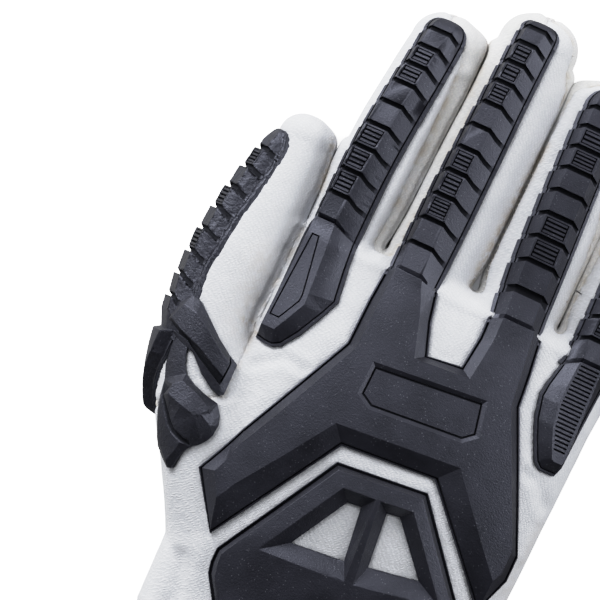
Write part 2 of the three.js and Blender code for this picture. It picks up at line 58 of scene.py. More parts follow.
FOURCHETTE_FOOT = 33.0
BLEND = 5.0

# How points are found on the surface: coarse steps, halvings of the last one, and the reach of a slope
SEARCH_STEP = 1.5
HALVINGS = 18
NORMAL_STEP = 1.0
SETTLE_STEP = 0.5

cuff_low, cuff_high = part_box("cuff")
SHIFT = np.array([(cuff_low[0] + cuff_high[0]) / 2 / MM - CUFF_MIDDLE, cuff_low[1] / MM - CUFF_END, 0.0])


def table(columns, *rows):
    """A short table as one array for each named column."""
    return dict(zip(columns.split(), np.array(rows, float).T))


def sections(power, cap, *rows):
    """A form's sections along y. The power squares them off, and the cap is the length of its round end."""
    return dict(power=power, cap=cap, rows=table("y left right middle half", *rows))


# Outer form: the same sections as the cloth solids
HAND = sections(
    2.5, 7.0,
    (-150, -36, 56, 17.5, 18.5),
    (-132, -36, 56, 17.5, 18.5),
    (-108, -34, 55.5, 17, 18),
    (-88, -32.5, 55, 16.5, 17.5),
    (-70, -34, 56, 16.5, 17.5),
    (-50, -38, 58.5, 17, 18.5),
    (-30, -41, 61, 17.5, 19),
    (-10, -42, 62, 17.5, 19),
    (10, -42, 63, 16.5, 18),
    (26, -41.5, 63.5, 15, 16.5),
    (39, -41, 63.5, 13.5, 14.5),
)
INDEX = sections(
    2.3, 10.0,
    (22, -39.5, -18, 13, 12.5),
    (45, -41.1, -16.8, 11.8, 13),
    (60, -41, -15.4, 11.6, 12.8),
    (80, -40.4, -14.6, 11.4, 12.5),
    (100, -38.2, -13.6, 11, 12),
    (111, -36.6, -13.8, 10.6, 11.2),
)
MIDDLE = sections(
    2.3, 11.0,
    (22, -15, 11, 13.5, 13),
    (45, -15.4, 12.2, 12.3, 13.5),
    (60, -14.3, 13.2, 12, 13.3),
    (85, -13.6, 13.8, 11.8, 13),
    (107, -12.6, 13.8, 11.4, 12.4),
    (121.5, -12, 12.6, 11, 11.6),
)
RING = sections(
    2.3, 10.0,
    (22, 17, 40, 13.2, 12.8),
    (45, 15.6, 41.2, 12, 13.2),
    (60, 15, 40.9, 11.8, 12.9),
    (80, 15, 40.3, 11.5, 12.6),
    (100, 15, 39.4, 11.1, 12),
    (112, 15.4, 37.8, 10.7, 11.2),
)
LITTLE = sections(
    2.3, 9.0,
    (20, 43, 61, 13, 11.5),
    (45, 42.4, 64.2, 11.2, 12.1),
    (60, 42.3, 64.4, 10.9, 11.8),
    (75, 42.6, 64.4, 10.6, 11.4),
    (90, 43.6, 63.4, 10.2, 10.4),
)
THUMB = sections(
    2.3, 8.5,
    (-76, -31, -2, 14, 14.5),
    (-58, -40.5, -10, 14.2, 15),
    (-42, -50, -20, 14.5, 15.5),
    (-26, -59.7, -28, 14.5, 15.6),
    (-10, -65.1, -36, 14.2, 15.2),
    (8, -67.3, -41.8, 13.6, 14.6),
    (25, -67.4, -42.2, 13, 14),
    (42, -65.6, -42.2, 12, 13),
    (56, -63, -42.4, 11, 11.8),
    (66, -61, -44, 10.4, 10.6),
)
DIGITS = [INDEX, MIDDLE, RING, LITTLE, THUMB]


def column(rows, name, y):
    """A smooth curve through one column of a table, read at the heights y."""
    ys, values = rows["y"], rows[name]
    last = len(ys) - 1
    at = np.clip(y, ys[0], ys[last])
    i = np.clip(np.searchsorted(ys, at) - 1, 0, last - 1)
    low = np.maximum(np.arange(last + 1) - 1, 0)
    high = np.minimum(np.arange(last + 1) + 1, last)
    slopes = (values[high] - values[low]) / (ys[high] - ys[low])
    span = ys[i + 1] - ys[i]
    t = (at - ys[i]) / span
    blend = (3 - 2 * t) * t * t
    rise = slopes[i] * span * t * (1 - t) ** 2 - slopes[i + 1] * span * t * t * (1 - t)
    return values[i] * (1 - blend) + values[i + 1] * blend + rise


def distance_to(form, x, y, z):
    """Roughly the distance from points to a form's surface, less than 0 inside it."""
    rows = form["rows"]
    left, right = column(rows, "left", y), column(rows, "right", y)
    wide, high = (right - left) / 2, column(rows, "half", y)
    across = np.abs(x - (left + right) / 2) / wide
    up = np.abs(z - column(rows, "middle", y)) / high
    along = np.maximum(0, y - rows["y"][-1]) / form["cap"]
    power = form["power"]
    total = across ** power + up ** power + along ** power
    return (total ** (1 / power) - 1) * np.minimum(wide, high)


def distance_to_glove(x, y, z):
    """The whole outer surface, with a fillet where each finger and the thumb leave the hand."""
    hand = distance_to(HAND, x, y, z)
    nearest = hand
    for form in DIGITS:
        digit = distance_to(form, x, y, z)
        mix = np.maximum(BLEND - np.abs(hand - digit), 0) / BLEND
        nearest = np.minimum(nearest, np.minimum(hand, digit) - mix * mix * BLEND / 4)
    return nearest


def slope_of(field, points, step):
    """The gradient of a field at some points."""
    result = np.empty_like(points)
    for axis in range(3):
        offset = np.zeros(3)
        offset[axis] = step
        ahead, behind = (points + offset).T, (points - offset).T
        result[:, axis] = (field(*ahead) - field(*behind)) / (2 * step)
    return result


def unit(vectors):
    return vectors / np.maximum(np.linalg.norm(vectors, axis=1, keepdims=True), 1e-9)


def normals_at(points):
    return unit(slope_of(distance_to_glove, points, NORMAL_STEP))


def surface_points(points, ups, above=45.0, below=-6.0):
    """Where lines that come in against the directions ups first meet the glove's surface."""
    outside = np.full(len(points), above)
    searching = np.ones(len(points), bool)
    while searching.any() and outside.max() > below:
        at = points[searching] + ups[searching] * outside[searching, None]
        met = distance_to_glove(*at.T) <= 0
        index = np.flatnonzero(searching)
        outside[index[~met]] -= SEARCH_STEP
        searching[index[met]] = False
        searching &= outside > below
    inside = outside.copy()
    outside = outside + SEARCH_STEP
    for _ in range(HALVINGS):
        half = (inside + outside) / 2
        out = distance_to_glove(*(points + ups * half[:, None]).T) > 0
        outside = np.where(out, half, outside)
        inside = np.where(out, inside, half)
    return points + ups * outside[:, None]


# Meshes
def add_object(name, data):
    obj = bpy.data.objects.new(name, data)
    bpy.context.scene.collection.objects.link(obj)
    return obj


def new_object(name, points, faces, body="root"):
    """An object from points in pattern millimetres, which rides on the glove's body."""
    mesh = bpy.data.meshes.new(name)
    mesh.from_pydata((np.asarray(points) + SHIFT) * MM, [], [tuple(map(int, f)) for f in faces])
    mesh.validate()
    obj = add_object(name, mesh)
    mesh.shade_smooth()
    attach(obj, body)
    return obj


def set_attribute(obj, name, values):
    layer = obj.data.attributes.new(name, "FLOAT", "POINT")
    layer.data.foreach_set("value", np.asarray(values, np.float32))


# Cloth
FLOOR_ROUNDING = 3.0
NET_STEP = 1.0
WALL = 1.6
TOUCH = 0.16
PRESS_REACH = 8.0
HEM = 11.0
CUT_SNAP = 0.02
# Seams: half width, depth and its waver, then the swell of the cloth beside them
SEAM_HALF = 1.1
SEAM_DEPTH = 0.75
SEAM_WAVER = 0.35
SWELL_AT = 3.2
SWELL_HALF = 1.6
SWELL_HEIGHT = 0.3
# Guards: how far out they are looked for, the dent beside them and the sink under them
GUARD_REACH = 7.0
DENT_HALF = 2.6
DENT_DEPTH = 0.45
SINK_DEPTH = 0.7
# The hem's turned cloth: its height, its extra wall and the groove along its edge
HEM_HEIGHT = 0.5
HEM_WALL = 0.6
HEM_GROOVE = 0.35


def smooth(low, high, value):
    """Goes from 0 at low to 1 at high in a smooth step."""
    t = np.clip((value - low) / (high - low), 0, 1)
    return t * t * (3 - 2 * t)


def bell(distance, half):
    """Falls from 1 at no distance towards 0, in the shape of a bell."""
    return np.exp(-(distance / half) ** 2)


def cloth_field(x, y, z):
    """The glove's surface, lying flat on the floor with rounded lower edges."""
    glove = distance_to_glove(x, y, z)
    floor = -z
    mix = np.maximum(FLOOR_ROUNDING - np.abs(glove - floor), 0) / FLOOR_ROUNDING
    return np.maximum(glove, floor) + mix * mix * FLOOR_ROUNDING / 4


def surface_net(field, low, high, step):
    """Points and quads over the zero level of a field, with one point in each crossed cell of a grid."""
    axes = [np.arange(a, b + step, step) for a, b in zip(low, high)]
    values = field(axes[0][:, None, None], axes[1][None, :, None], axes[2][None, None, :])
    inside = values < 0
    cells = tuple(n - 1 for n in values.shape)
    corners = [(i, j, k) for i in (0, 1) for j in (0, 1) for k in (0, 1)]

    def corner(array, c):
        return array[tuple(slice(c[a], c[a] + cells[a]) for a in range(3))]

    count = sum(corner(inside, c).astype(int) for c in corners)
    crossed = (count > 0) & (count < 8)
    number = np.full(cells, -1)
    number[crossed] = np.arange(crossed.sum())
    total = np.zeros((crossed.sum(), 3))
    hits = np.zeros(crossed.sum())
    for c in corners:
        for axis in range(3):
            if c[axis]:
                continue
            d = list(c)
            d[axis] = 1
            a, b = corner(values, c)[crossed], corner(values, d)[crossed]
            cut = (a < 0) != (b < 0)
            point = np.tile(np.array(c, float), (len(a), 1))
            point[:, axis] += np.where(cut, a / np.where(cut, a - b, 1), 0)
            total += point * cut[:, None]
            hits += cut
    points = (np.argwhere(crossed) + total / hits[:, None]) * step + np.array(low)
    quads = []
    for axis in range(3):
        u, v = (axis + 1) % 3, (axis + 2) % 3
        first = np.take(inside, range(values.shape[axis] - 1), axis)
        second = np.take(inside, range(1, values.shape[axis]), axis)
        at = np.argwhere(first != second)
        fits = (at[:, u] > 0) & (at[:, v] > 0) & (at[:, u] < cells[u]) & (at[:, v] < cells[v])
        at = at[fits]
        out = first[tuple(at.T)]
        step_u, step_v = np.eye(3, dtype=int)[u], np.eye(3, dtype=int)[v]
        ring = [at - step_u - step_v, at - step_v, at, at - step_u]
        quad = np.stack([number[tuple(p.T)] for p in ring], 1)
        quads.append(np.where(out[:, None], quad, quad[:, ::-1]))
    return points, np.vstack(quads)


def settle(points, rounds=3):
    """Moves points along the slope of the cloth's field onto its surface."""
    for _ in range(rounds):
        slope = slope_of(cloth_field, points, SETTLE_STEP)
        size = np.maximum((slope * slope).sum(1), 0.05)
        points = points - slope * (np.clip(cloth_field(*points.T), -1, 1) / size)[:, None]
    return points


THUMB_SEAM_X = -41.6
THUMB_SEAM_Y = -14.0
THUMB_SEAM_END = (-70.0, -32.0)
THUMB_REGION_TOP = 95.0
FOURCHETTES = {
    "fourchette_index_middle": dict(foot=(-29, -1.6), tip=(-25.2, 0.3), top=21),
    "fourchette_middle_ring": dict(foot=(-1, 28.6), tip=(0.9, 26.6), top=17),
    "fourchette_ring_little": dict(foot=(29.2, 53.2), tip=(27.2, 53.6), top=18),
}
FAR = 200.0


def fourchette_side(row, side, y):
    """The plan limit of a fourchette's region at the heights y."""
    t = (y - FOURCHETTE_FOOT) / (FAR - FOURCHETTE_FOOT)
    return row["foot"][side] + (row["tip"][side] - row["foot"][side]) * t


def region_of(centres):
    """The panel that each face belongs to, by its middle."""
    x, y, z = centres.T
    fall = (THUMB_SEAM_END[1] - THUMB_SEAM_Y) / (THUMB_SEAM_END[0] - THUMB_SEAM_X)
    names = np.where(z > SIDE_SEAM, "back_panel", "palm_panel").astype(object)
    for name, row in FOURCHETTES.items():
        held = (y > FOURCHETTE_FOOT) & (z > FOURCHETTE_BOTTOM) & (z < row["top"])
        held &= (x > fourchette_side(row, 0, y)) & (x < fourchette_side(row, 1, y))
        names[held] = name
    thumb = (x < THUMB_SEAM_X) & (y > THUMB_SEAM_Y + fall * (x - THUMB_SEAM_X))
    thumb &= y < THUMB_REGION_TOP
    names[thumb] = "thumb_panel"
    names[y < CUFF_SEAM] = "cuff"
    return names


def cut_mesh(points, quads):
    """Cuts the net along the planes of the seams, and off at the cuff's end."""
    mesh = bmesh.new()
    made = [mesh.verts.new(p) for p in points]
    for quad in quads:
        mesh.faces.new([made[i] for i in quad])
    along = Vector((*THUMB_SEAM_END, 0)) - Vector((THUMB_SEAM_X, THUMB_SEAM_Y, 0))
    planes = [
        ((0, CUFF_SEAM, 0), (0, 1, 0), None),
        ((0, 0, SIDE_SEAM), (0, 0, 1), None),
        ((THUMB_SEAM_X, 0, 0), (1, 0, 0), None),
        ((THUMB_SEAM_X, THUMB_SEAM_Y, 0), (-along.y, along.x, 0), None),
        ((0, FOURCHETTE_FOOT, 0), (0, 1, 0), None),
        ((0, 0, FOURCHETTE_BOTTOM), (0, 0, 1), FOURCHETTE_FOOT),
    ]
    planes += [((0, 0, row["top"]), (0, 0, 1), FOURCHETTE_FOOT) for row in FOURCHETTES.values()]
    for co, no, above in planes:
        faces = [f for f in mesh.faces if above is None or f.calc_center_median().y > above]
        around = {e for f in faces for e in f.edges} | {v for f in faces for v in f.verts}
        bmesh.ops.bisect_plane(mesh, geom=[*faces, *around], dist=CUT_SNAP, plane_co=co, plane_no=no)
    whole = [*mesh.verts, *mesh.edges, *mesh.faces]
    bmesh.ops.bisect_plane(mesh, geom=whole, dist=CUT_SNAP, plane_co=(0, CUFF_END, 0), plane_no=(0, 1, 0),
                           clear_inner=True)
    return take_mesh(mesh)


def take_mesh(mesh):
    """The points and faces of a bmesh, which is then freed."""
    mesh.verts.index_update()
    points = np.array([v.co[:] for v in mesh.verts])
    faces = [[v.index for v in f.verts] for f in mesh.faces]
    mesh.free()
    return points, faces


def mesh_normals(points, faces):
    """The outward direction at each point of a mesh."""
    mesh = bpy.data.meshes.new("normals")
    mesh.from_pydata(points, [], faces)
    result = np.empty(len(points) * 3)
    mesh.vertices.foreach_get("normal", result)
    bpy.data.meshes.remove(mesh)
    return result.reshape(-1, 3)


def edge_at(form, y, z, side):
    """The x of a form's surface at its right side (1) or left side (-1), at heights z."""
    rows, power = form["rows"], form["power"]
    up = np.abs(z - column(rows, "middle", y)) / column(rows, "half", y)
    along = np.maximum(0, y - rows["y"][-1]) / form["cap"]
    share = np.clip(1 - up ** power - along ** power, 0, 1) ** (1 / power)
    left, right = column(rows, "left", y), column(rows, "right", y)
    return (left + right) / 2 + side * (right - left) / 2 * share


# Neighbours whose side cloth touches: the left form, those at its right, and the y where the touch starts
TOUCHING = [
    (THUMB, (INDEX, HAND), 2),
    (INDEX, (MIDDLE,), 40),
    (MIDDLE, (RING,), 45),
    (RING, (LITTLE,), 42),
]


def press_together(points):
    """Widens the side cloth of neighbouring fingers until it touches."""
    x, y, z = points.T
    shift = np.zeros(len(points))
    for left_form, right_forms, start in TOUCHING:
        left_edge = edge_at(left_form, y, z, 1)
        right_edge = np.min([edge_at(form, y, z, -1) for form in right_forms], 0)
        gap = right_edge - left_edge
        push = np.maximum(gap - TOUCH, 0) / 2 * smooth(PRESS_REACH, 2.5, gap) * smooth(start, start + 12, y)
        nearer = np.abs(x - left_edge) < np.abs(x - right_edge)
        shift += np.where(nearer, push * smooth(2, 0.7, np.abs(x - left_edge)), 0)
        shift -= np.where(nearer, 0, push * smooth(2, 0.7, np.abs(x - right_edge)))
    moved = points.copy()
    moved[:, 0] += shift
    return moved


def tree_of(points):
    """A search tree over some points."""
    tree = KDTree(len(points))
    for i, point in enumerate(points):
        tree.insert(point, i)
    tree.balance()
    return tree


def nearest(points, marks):
    """Distance from each point to the nearest of some marks."""
    tree = tree_of(marks)
    return np.array([tree.find(p)[2] for p in points])


def wavy(points, scale, seed):
    """Smooth noise between -1 and 1 at each point."""
    offset = Vector((seed * 17.3, seed * 5.1, seed * 9.7))
    return np.array([noise.noise(Vector(p) * scale + offset) for p in points])


def plan_distance(points, line):
    """Distance in plan from points to a line of corners."""
    result = np.full(len(points), np.inf)
    for a, b in zip(line, line[1:]):
        a, b = np.array(a, float), np.array(b, float)
        t = np.clip(((points[:, :2] - a) @ (b - a)) / ((b - a) @ (b - a)), 0, 1)
        result = np.minimum(result, np.linalg.norm(points[:, :2] - a - t[:, None] * (b - a), axis=1))
    return result


# Soft folds in the back's cloth: half width, depth and the line that each one follows
FOLDS = [
    (1.9, 0.8, [(-20.5, 44), (-19, 62), (-17.8, 84), (-17, 102)]),
    (1.8, 0.3, [(-42.6, 10), (-43.8, 2), (-45.2, -6), (-46.6, -15)]),
    (1.0, 0.25, [(-46, 12), (-43.2, 8.6), (-40.6, 7)]),
    (1.6, 0.5, [(-38, -2), (-30, 4), (-23, 3)]),
    (2.2, 0.7, [(-33, -64), (-30, -74), (-31, -83)]),
    (2.6, 0.8, [(-34, -92), (-20, -95), (-6, -93)]),
    (2.4, 0.7, [(55, -93), (40, -97), (22, -95)]),
    (2.2, 0.6, [(-35, -106), (-24, -108), (-16, -107)]),
    (1.8, 0.6, [(60, -4), (55, 2), (50, 3)]),
    (1.8, 0.5, [(61, -24), (60, -34), (57, -44)]),
    (1.5, 0.5, [(44, 48), (45, 62), (45.6, 80)]),
]
# Brownish tints along lines, dirt that the seams have caught and one wide weak tint over the thumb's crotch:
# half width, strength and line
STAINS = [
    (1.0, 0.7, [(-14.3, 120), (-13.2, 110), (-12.8, 100)]),
    (1.0, 0.35, [(-13.4, 100), (-15.6, 76), (-16.6, 60)]),
    (1.2, 1.0, [(15, 96), (13.8, 80), (12.6, 60), (11.9, 48)]),
    (1.2, 0.9, [(-44.6, 70), (-42.6, 62), (-41.8, 54)]),
    (1.2, 0.8, [(-46, 9), (-43, 9.4), (-41, 7)]),
    # A wide, weak brownish darkening over the thumb's crotch
    (5.0, 0.3, [(-49, 28), (-46.5, 12), (-44, 6)]),
    (2.5, 0.25, [(62, -10), (61, -34)]),
    (2.0, 0.4, [(41.5, 50), (41.8, 84)]),
]


def shape_skin(points, faces, names, guard_tree):
    """Gives the cloth seams, folds, hem and dents. Returns the skin, and where seams, brownish tints and
    guards are.
    """
    label = [n + ("_upper" if n == "thumb_panel" and z > SIDE_SEAM else "") for n, z in
             zip(names, (points[f][:, 2].mean() for f in faces))]
    sides = {}
    for face, name in zip(faces, label):
        for a, b in zip(face, face[1:] + face[:1]):
            sides.setdefault((min(a, b), max(a, b)), []).append(name)
    seams = [edge for edge, found in sides.items() if len(set(found)) > 1]
    on_seam = sorted({i for edge in seams for i in edge})
    flat_seams = points[on_seam]

    skin = press_together(points)
    normals = mesh_normals(skin, faces)
    hits = [guard_tree.ray_cast(Vector(p + n * GUARD_REACH), Vector(-n), GUARD_REACH + 0.3)[0]
            for p, n in zip(skin, normals)]
    covered = np.array([hit is not None for hit in hits])
    gap = nearest(points, flat_seams)
    from_guard = nearest(skin, skin[covered])
    move = -(SEAM_DEPTH + SEAM_WAVER * wavy(points, 0.35, 1)) * bell(gap, SEAM_HALF)
    move += SWELL_HEIGHT * bell(gap - SWELL_AT, SWELL_HALF)
    move += (0.32 * wavy(points, 0.06, 2) + 0.1 * wavy(points, 0.25, 3)) * np.clip(gap / 6, 0, 1)
    on_back = smooth(0.1, 0.5, normals[:, 2])
    for width, depth, line in FOLDS:
        away = plan_distance(points, line) / width
        move -= on_back * depth * (bell(away, 1) - 0.45 * bell(away - 2, 1))
    hem_edge = CUFF_END + HEM
    move += HEM_HEIGHT * smooth(hem_edge + 0.4, hem_edge - 0.8, points[:, 1])
    move -= HEM_GROOVE * bell(points[:, 1] - hem_edge - 1, 0.8)
    move += 0.07 * wavy(points, 0.8, 4) * on_back
    move -= DENT_DEPTH * bell(from_guard, DENT_HALF) * (0.7 + 0.6 * wavy(points, 0.2, 5))
    move *= smooth(0.0, 2.0, from_guard)
    move -= SINK_DEPTH * smooth(1.0, 0, from_guard)
    resting = np.clip((points[:, 2] - 1.0) / 4, 0, 1)
    skin = skin + normals * (move * resting)[:, None]
    stain = np.zeros(len(points))
    for width, strength, line in STAINS:
        stain = np.maximum(stain, strength * bell(plan_distance(skin, line), width))
    return skin, gap, stain, seams, from_guard


def thicken(points, normals, faces, wall):
    """A closed wall from an outer skin: its inner skin, and rims round its open edges."""
    count = len(points)
    inner = points - normals * wall[:, None]
    inner[:, 2] = np.maximum(inner[:, 2], np.minimum(points[:, 2] + wall * 0.8, wall))
    edges = {(a, b) for face in faces for a, b in zip(face, face[1:] + face[:1])}
    rims = [(b, a, a + count, b + count) for a, b in edges if (b, a) not in edges]
    closed = [tuple(f) for f in faces] + [tuple(i + count for i in reversed(f)) for f in faces] + rims
    return np.vstack([points, inner]), closed


def shell_panels(guard_tree):
    """Every cloth panel as a closed wall, and the stitches along the seams."""
    points, quads = surface_net(cloth_field, (-74, CUFF_END - 3, -2), (70, 136, 40), NET_STEP)
    points, faces = cut_mesh(settle(points), quads)
    names = region_of(np.array([points[f].mean(0) for f in faces]))
    skin, gap, stain, seams, from_guard = shape_skin(points, faces, names, guard_tree)
    normals = mesh_normals(skin, faces)
    wall = WALL + HEM_WALL * smooth(CUFF_END + HEM, CUFF_END + HEM - 1, points[:, 1])

    for name in sorted(set(names)):
        chosen = [f for f, n in zip(faces, names) if n == name]
        keep = sorted({i for f in chosen for i in f})
        place = {old: new for new, old in enumerate(keep)}
        local = [[place[i] for i in f] for f in chosen]
        obj = new_object(name + "_cloth", *thicken(skin[keep], normals[keep], local, wall[keep]))
        set_attribute(obj, "seam", np.tile(gap[keep], 2))
        set_attribute(obj, "stain", np.tile(stain[keep], 2))
        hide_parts(name)
        side = name.startswith("fourchette")
        obj.data.materials.append(side_cloth if side else shell_cloth)
    stitches(skin, normals, seams, from_guard)


# Stitches
STITCH_PITCH = 1.7
STITCH_REACH = 1.05
THREAD = 0.17
THREAD_SIDES = 5
# The hem's two rows: how far they lie inside its edge, their pitch and reach, and the ring they are cast from
HEM_ROWS = (2.2, 4.8)
HEM_PITCH = 3.2
HEM_REACH = 1.15
RING_HALF_WIDTH = 60
RING_HALF_HEIGHT = 30
RING_MIDDLE = 17
RING_STEP = 0.035


def chains(edges):
    """Joins edges into lines of points that follow each other."""
    links = {}
    for a, b in edges:
        links.setdefault(a, []).append(b)
        links.setdefault(b, []).append(a)
    left = {frozenset(e) for e in edges}
    starts = [p for p in links if len(links[p]) != 2] + list(links)
    lines = []
    for start in starts:
        for second in links[start]:
            if frozenset((start, second)) not in left:
                continue
            left.discard(frozenset((start, second)))
            line = [start, second]
            while len(links[line[-1]]) == 2:
                onward = [p for p in links[line[-1]] if frozenset((line[-1], p)) in left]
                if not onward:
                    break
                left.discard(frozenset((line[-1], onward[0])))
                line.append(onward[0])
            lines.append(line)
    return lines


def evenly(points, pitch):
    """Places along a line of points at an even pitch: its segment and the share of it."""
    steps = np.linalg.norm(np.diff(points, axis=0), axis=1)
    total = np.concatenate([[0], np.cumsum(steps)])
    marks = np.arange(pitch / 2, total[-1], pitch)
    i = np.clip(np.searchsorted(total, marks) - 1, 0, len(steps) - 1)
    return i, (marks - total[i]) / np.maximum(steps[i], 1e-6)


# A stitch seen from its side: how far it reaches along itself, and its height over the bottom of the seam
LADDER = np.array([(-1.0, 0.18), (-0.62, 0.5), (0, 0.58), (0.62, 0.5), (1.0, 0.18)])
RUNNING = np.array([(-1.0, -0.3), (-0.75, 0.1), (0, 0.2), (0.75, 0.1), (1.0, -0.3)])


def thread_mesh(places, along, ups, profile, reach):
    """One small bent tube of thread at each place."""
    across = np.cross(along, ups)
    rings = places[:, None] + along[:, None] * profile[None, :, :1] * reach
    rings = rings + ups[:, None] * profile[None, :, 1:]
    turns = np.arange(THREAD_SIDES) * 2 * math.pi / THREAD_SIDES
    corners = [(math.cos(a), math.sin(a)) for a in turns]
    tube = np.stack([rings + (across[:, None] * c + ups[:, None] * s) * THREAD for c, s in corners], 2)
    count, stations, sides = tube.shape[:3]
    faces = []
    for n in range(count):
        base = n * stations * sides
        for j in range(stations - 1):
            for i in range(sides):
                a, b = base + j * sides + i, base + j * sides + (i + 1) % sides
                faces.append((a, b, b + sides, a + sides))
        faces.append(tuple(base + i for i in range(sides))[::-1])
        faces.append(tuple(base + (stations - 1) * sides + i for i in range(sides)))
    return tube.reshape(-1, 3), faces


def stitches(skin, normals, seams, from_guard):
    """Ladder stitches across every open seam, and two rows of running stitches along the cuff's hem."""
    parts = []
    for line in chains(seams):
        points = skin[line]
        if len(points) < 4:
            continue
        i, t = evenly(points, STITCH_PITCH)
        places = points[i] + (points[i + 1] - points[i]) * t[:, None]
        ups = unit(normals[np.array(line)[i]])
        onward = unit(points[np.minimum(i + 3, len(points) - 1)] - points[np.maximum(i - 2, 0)])
        along = unit(np.cross(ups, onward))
        free = (from_guard[np.array(line)[i]] > 1.5) & (places[:, 2] > 3)
        free &= (ups[:, 2] < 0.4) | (places[:, 1] < CUFF_SEAM + 4)
        free &= (np.abs(places[:, 0] - THUMB_SEAM_X) > 2) | (places[:, 1] > 50)
        if free.any():
            parts.append(thread_mesh(places[free], along[free], ups[free], LADDER, STITCH_REACH))
    tree = tree_of(skin)
    turns = np.arange(0, 2 * math.pi, RING_STEP)
    for inwards in HEM_ROWS:
        y = CUFF_END + HEM - inwards
        ring = np.array([(CUFF_MIDDLE + RING_HALF_WIDTH * math.cos(a), y,
                          RING_MIDDLE + RING_HALF_HEIGHT * math.sin(a)) for a in turns])
        centre = np.array([CUFF_MIDDLE, y, RING_MIDDLE])
        reach = np.linspace(0, 1, 400)[None, :, None]
        lines = ring[:, None] + (centre - ring)[:, None] * reach
        met = np.argmax(cloth_field(*lines.reshape(-1, 3).T).reshape(len(ring), -1) < 0, 1)
        rough = lines[np.arange(len(ring)), met]
        found = [tree.find(p)[1] for p in rough]
        places = rough + normals[found] * ((skin[found] - rough) * normals[found]).sum(1)[:, None]
        i, t = evenly(np.vstack([places, places[:1]]), HEM_PITCH)
        onward = np.roll(places, -1, 0) - places
        spots = places[i] + onward[i] * t[:, None]
        free = spots[:, 2] > 2
        ahead, out = unit(onward[i])[free], unit(normals[found][i])[free]
        parts.append(thread_mesh(spots[free], ahead, out, RUNNING, HEM_REACH))
    obj = new_object("seam_stitches", *merge(*parts))
    obj.data.materials.append(thread)


# Moulded guards
SKIRT = -0.6
CREST_BEVEL = 0.2
SHARP = math.radians(24)
FINE_BEVEL = 0.15
FINE_FACET = 1.5


# The points of a guard are x, y, z or height, and a painted groove shade from 0 to 1, which turns the rubber
# near black where they lie deep in a groove
def start_mesh(points, faces):
    mesh = bmesh.new()
    layer = mesh.verts.layers.float.new("groove_shade")
    made = [mesh.verts.new(p[:3]) for p in points]
    for vert, p in zip(made, points):
        vert[layer] = p[3]
    for face in faces:
        mesh.faces.new([made[i] for i in face])
    return mesh


def end_mesh(mesh):
    layer = mesh.verts.layers.float["groove_shade"]
    groove_shade = np.array([v[layer] for v in mesh.verts])
    points, faces = take_mesh(mesh)
    return np.column_stack([points, groove_shade]), faces


def merge(*parts):
    """Joins meshes into one list of points and faces."""
    points, faces, start = [], [], 0
    for part_points, part_faces in parts:
        points.append(part_points)
        faces += [tuple(i + start for i in f) for f in part_faces]
        start += len(part_points)
    return np.vstack(points), faces


def rounded(points, faces, width, facet=None):
    """Rounds a solid's sharp edges, and with a facet size cuts its faces on a grid so that they bend."""
    mesh = start_mesh(points, faces)
    bmesh.ops.remove_doubles(mesh, verts=mesh.verts, dist=1e-4)
    bmesh.ops.dissolve_degenerate(mesh, edges=mesh.edges, dist=1e-4)
    if facet:
        upper = {v for v in mesh.verts if v.co.z > SKIRT + 0.1}
        edges = [e for e in mesh.edges if upper.issuperset(e.verts)]
        bmesh.ops.dissolve_limit(mesh, angle_limit=math.radians(0.5), verts=list(upper), edges=edges)
    bmesh.ops.recalc_face_normals(mesh, faces=mesh.faces)
    sharp = [e for e in mesh.edges if e.is_manifold and e.calc_face_angle(0) > SHARP]
    bmesh.ops.bevel(mesh, geom=sharp, offset=width, offset_type="OFFSET", segments=2, profile=0.6,
                    affect="EDGES", clamp_overlap=True)
    if facet:
        bmesh.ops.triangulate(mesh, faces=mesh.faces)
        low, high = np.min(points, 0), np.max(points, 0)
        for axis in range(2):
            for at in np.arange(math.ceil(low[axis] / facet), high[axis] / facet) * facet:
                co, no = [0, 0, 0], [0, 0, 0]
                co[axis], no[axis] = at + 0.013, 1
                whole = [*mesh.verts, *mesh.edges, *mesh.faces]
                bmesh.ops.bisect_plane(mesh, geom=whole, dist=0.01, plane_co=co, plane_no=no)
    return end_mesh(mesh)


def roughened(points, faces, height, size=0.9):
    """Cuts a solid's faces small and makes its surface uneven, as a worn mould leaves it."""
    mesh = start_mesh(points, faces)
    bmesh.ops.triangulate(mesh, faces=mesh.faces)
    for _ in range(4):
        long = [e for e in mesh.edges if e.calc_length() > size]
        bmesh.ops.subdivide_edges(mesh, edges=long, cuts=1)
        bmesh.ops.triangulate(mesh, faces=[f for f in mesh.faces if len(f.verts) > 3])
    mesh.normal_update()
    for vert in mesh.verts:
        lump = 0.6 * noise.noise(vert.co * 0.4) + noise.noise(vert.co * 1.1)
        vert.co += vert.normal * height * max(min(lump, 0.3), -0.9)
    return end_mesh(mesh)


def inset(polygon, distance):
    """A polygon whose sides are moved inwards by a distance."""
    points = np.array(polygon, float)
    following = np.roll(points, -1, 0)
    ahead = unit(following - points)
    behind = np.roll(ahead, 1, 0)
    area = np.sum(points[:, 0] * following[:, 1] - following[:, 0] * points[:, 1])
    inward = np.stack([-ahead[:, 1], ahead[:, 0]], 1) * np.sign(area)
    inward_before = np.stack([-behind[:, 1], behind[:, 0]], 1) * np.sign(area)
    mitre = inward + inward_before
    mitre /= np.sum(mitre * inward, 1)[:, None]
    return points + mitre * distance


def at_height(polygon, height, groove_shade=0):
    return [(x, y, height, groove_shade) for x, y in polygon]


def inside_polygon(points, polygon):
    x, y = points.T
    result = np.zeros(len(points), bool)
    for (ax, ay), (bx, by) in zip(polygon, list(polygon[1:]) + list(polygon[:1])):
        crosses = (ay > y) != (by > y)
        at = (bx - ax) * (y - ay) / np.where(by == ay, 1e-9, by - ay) + ax
        result ^= crosses & (x < at)
    return result


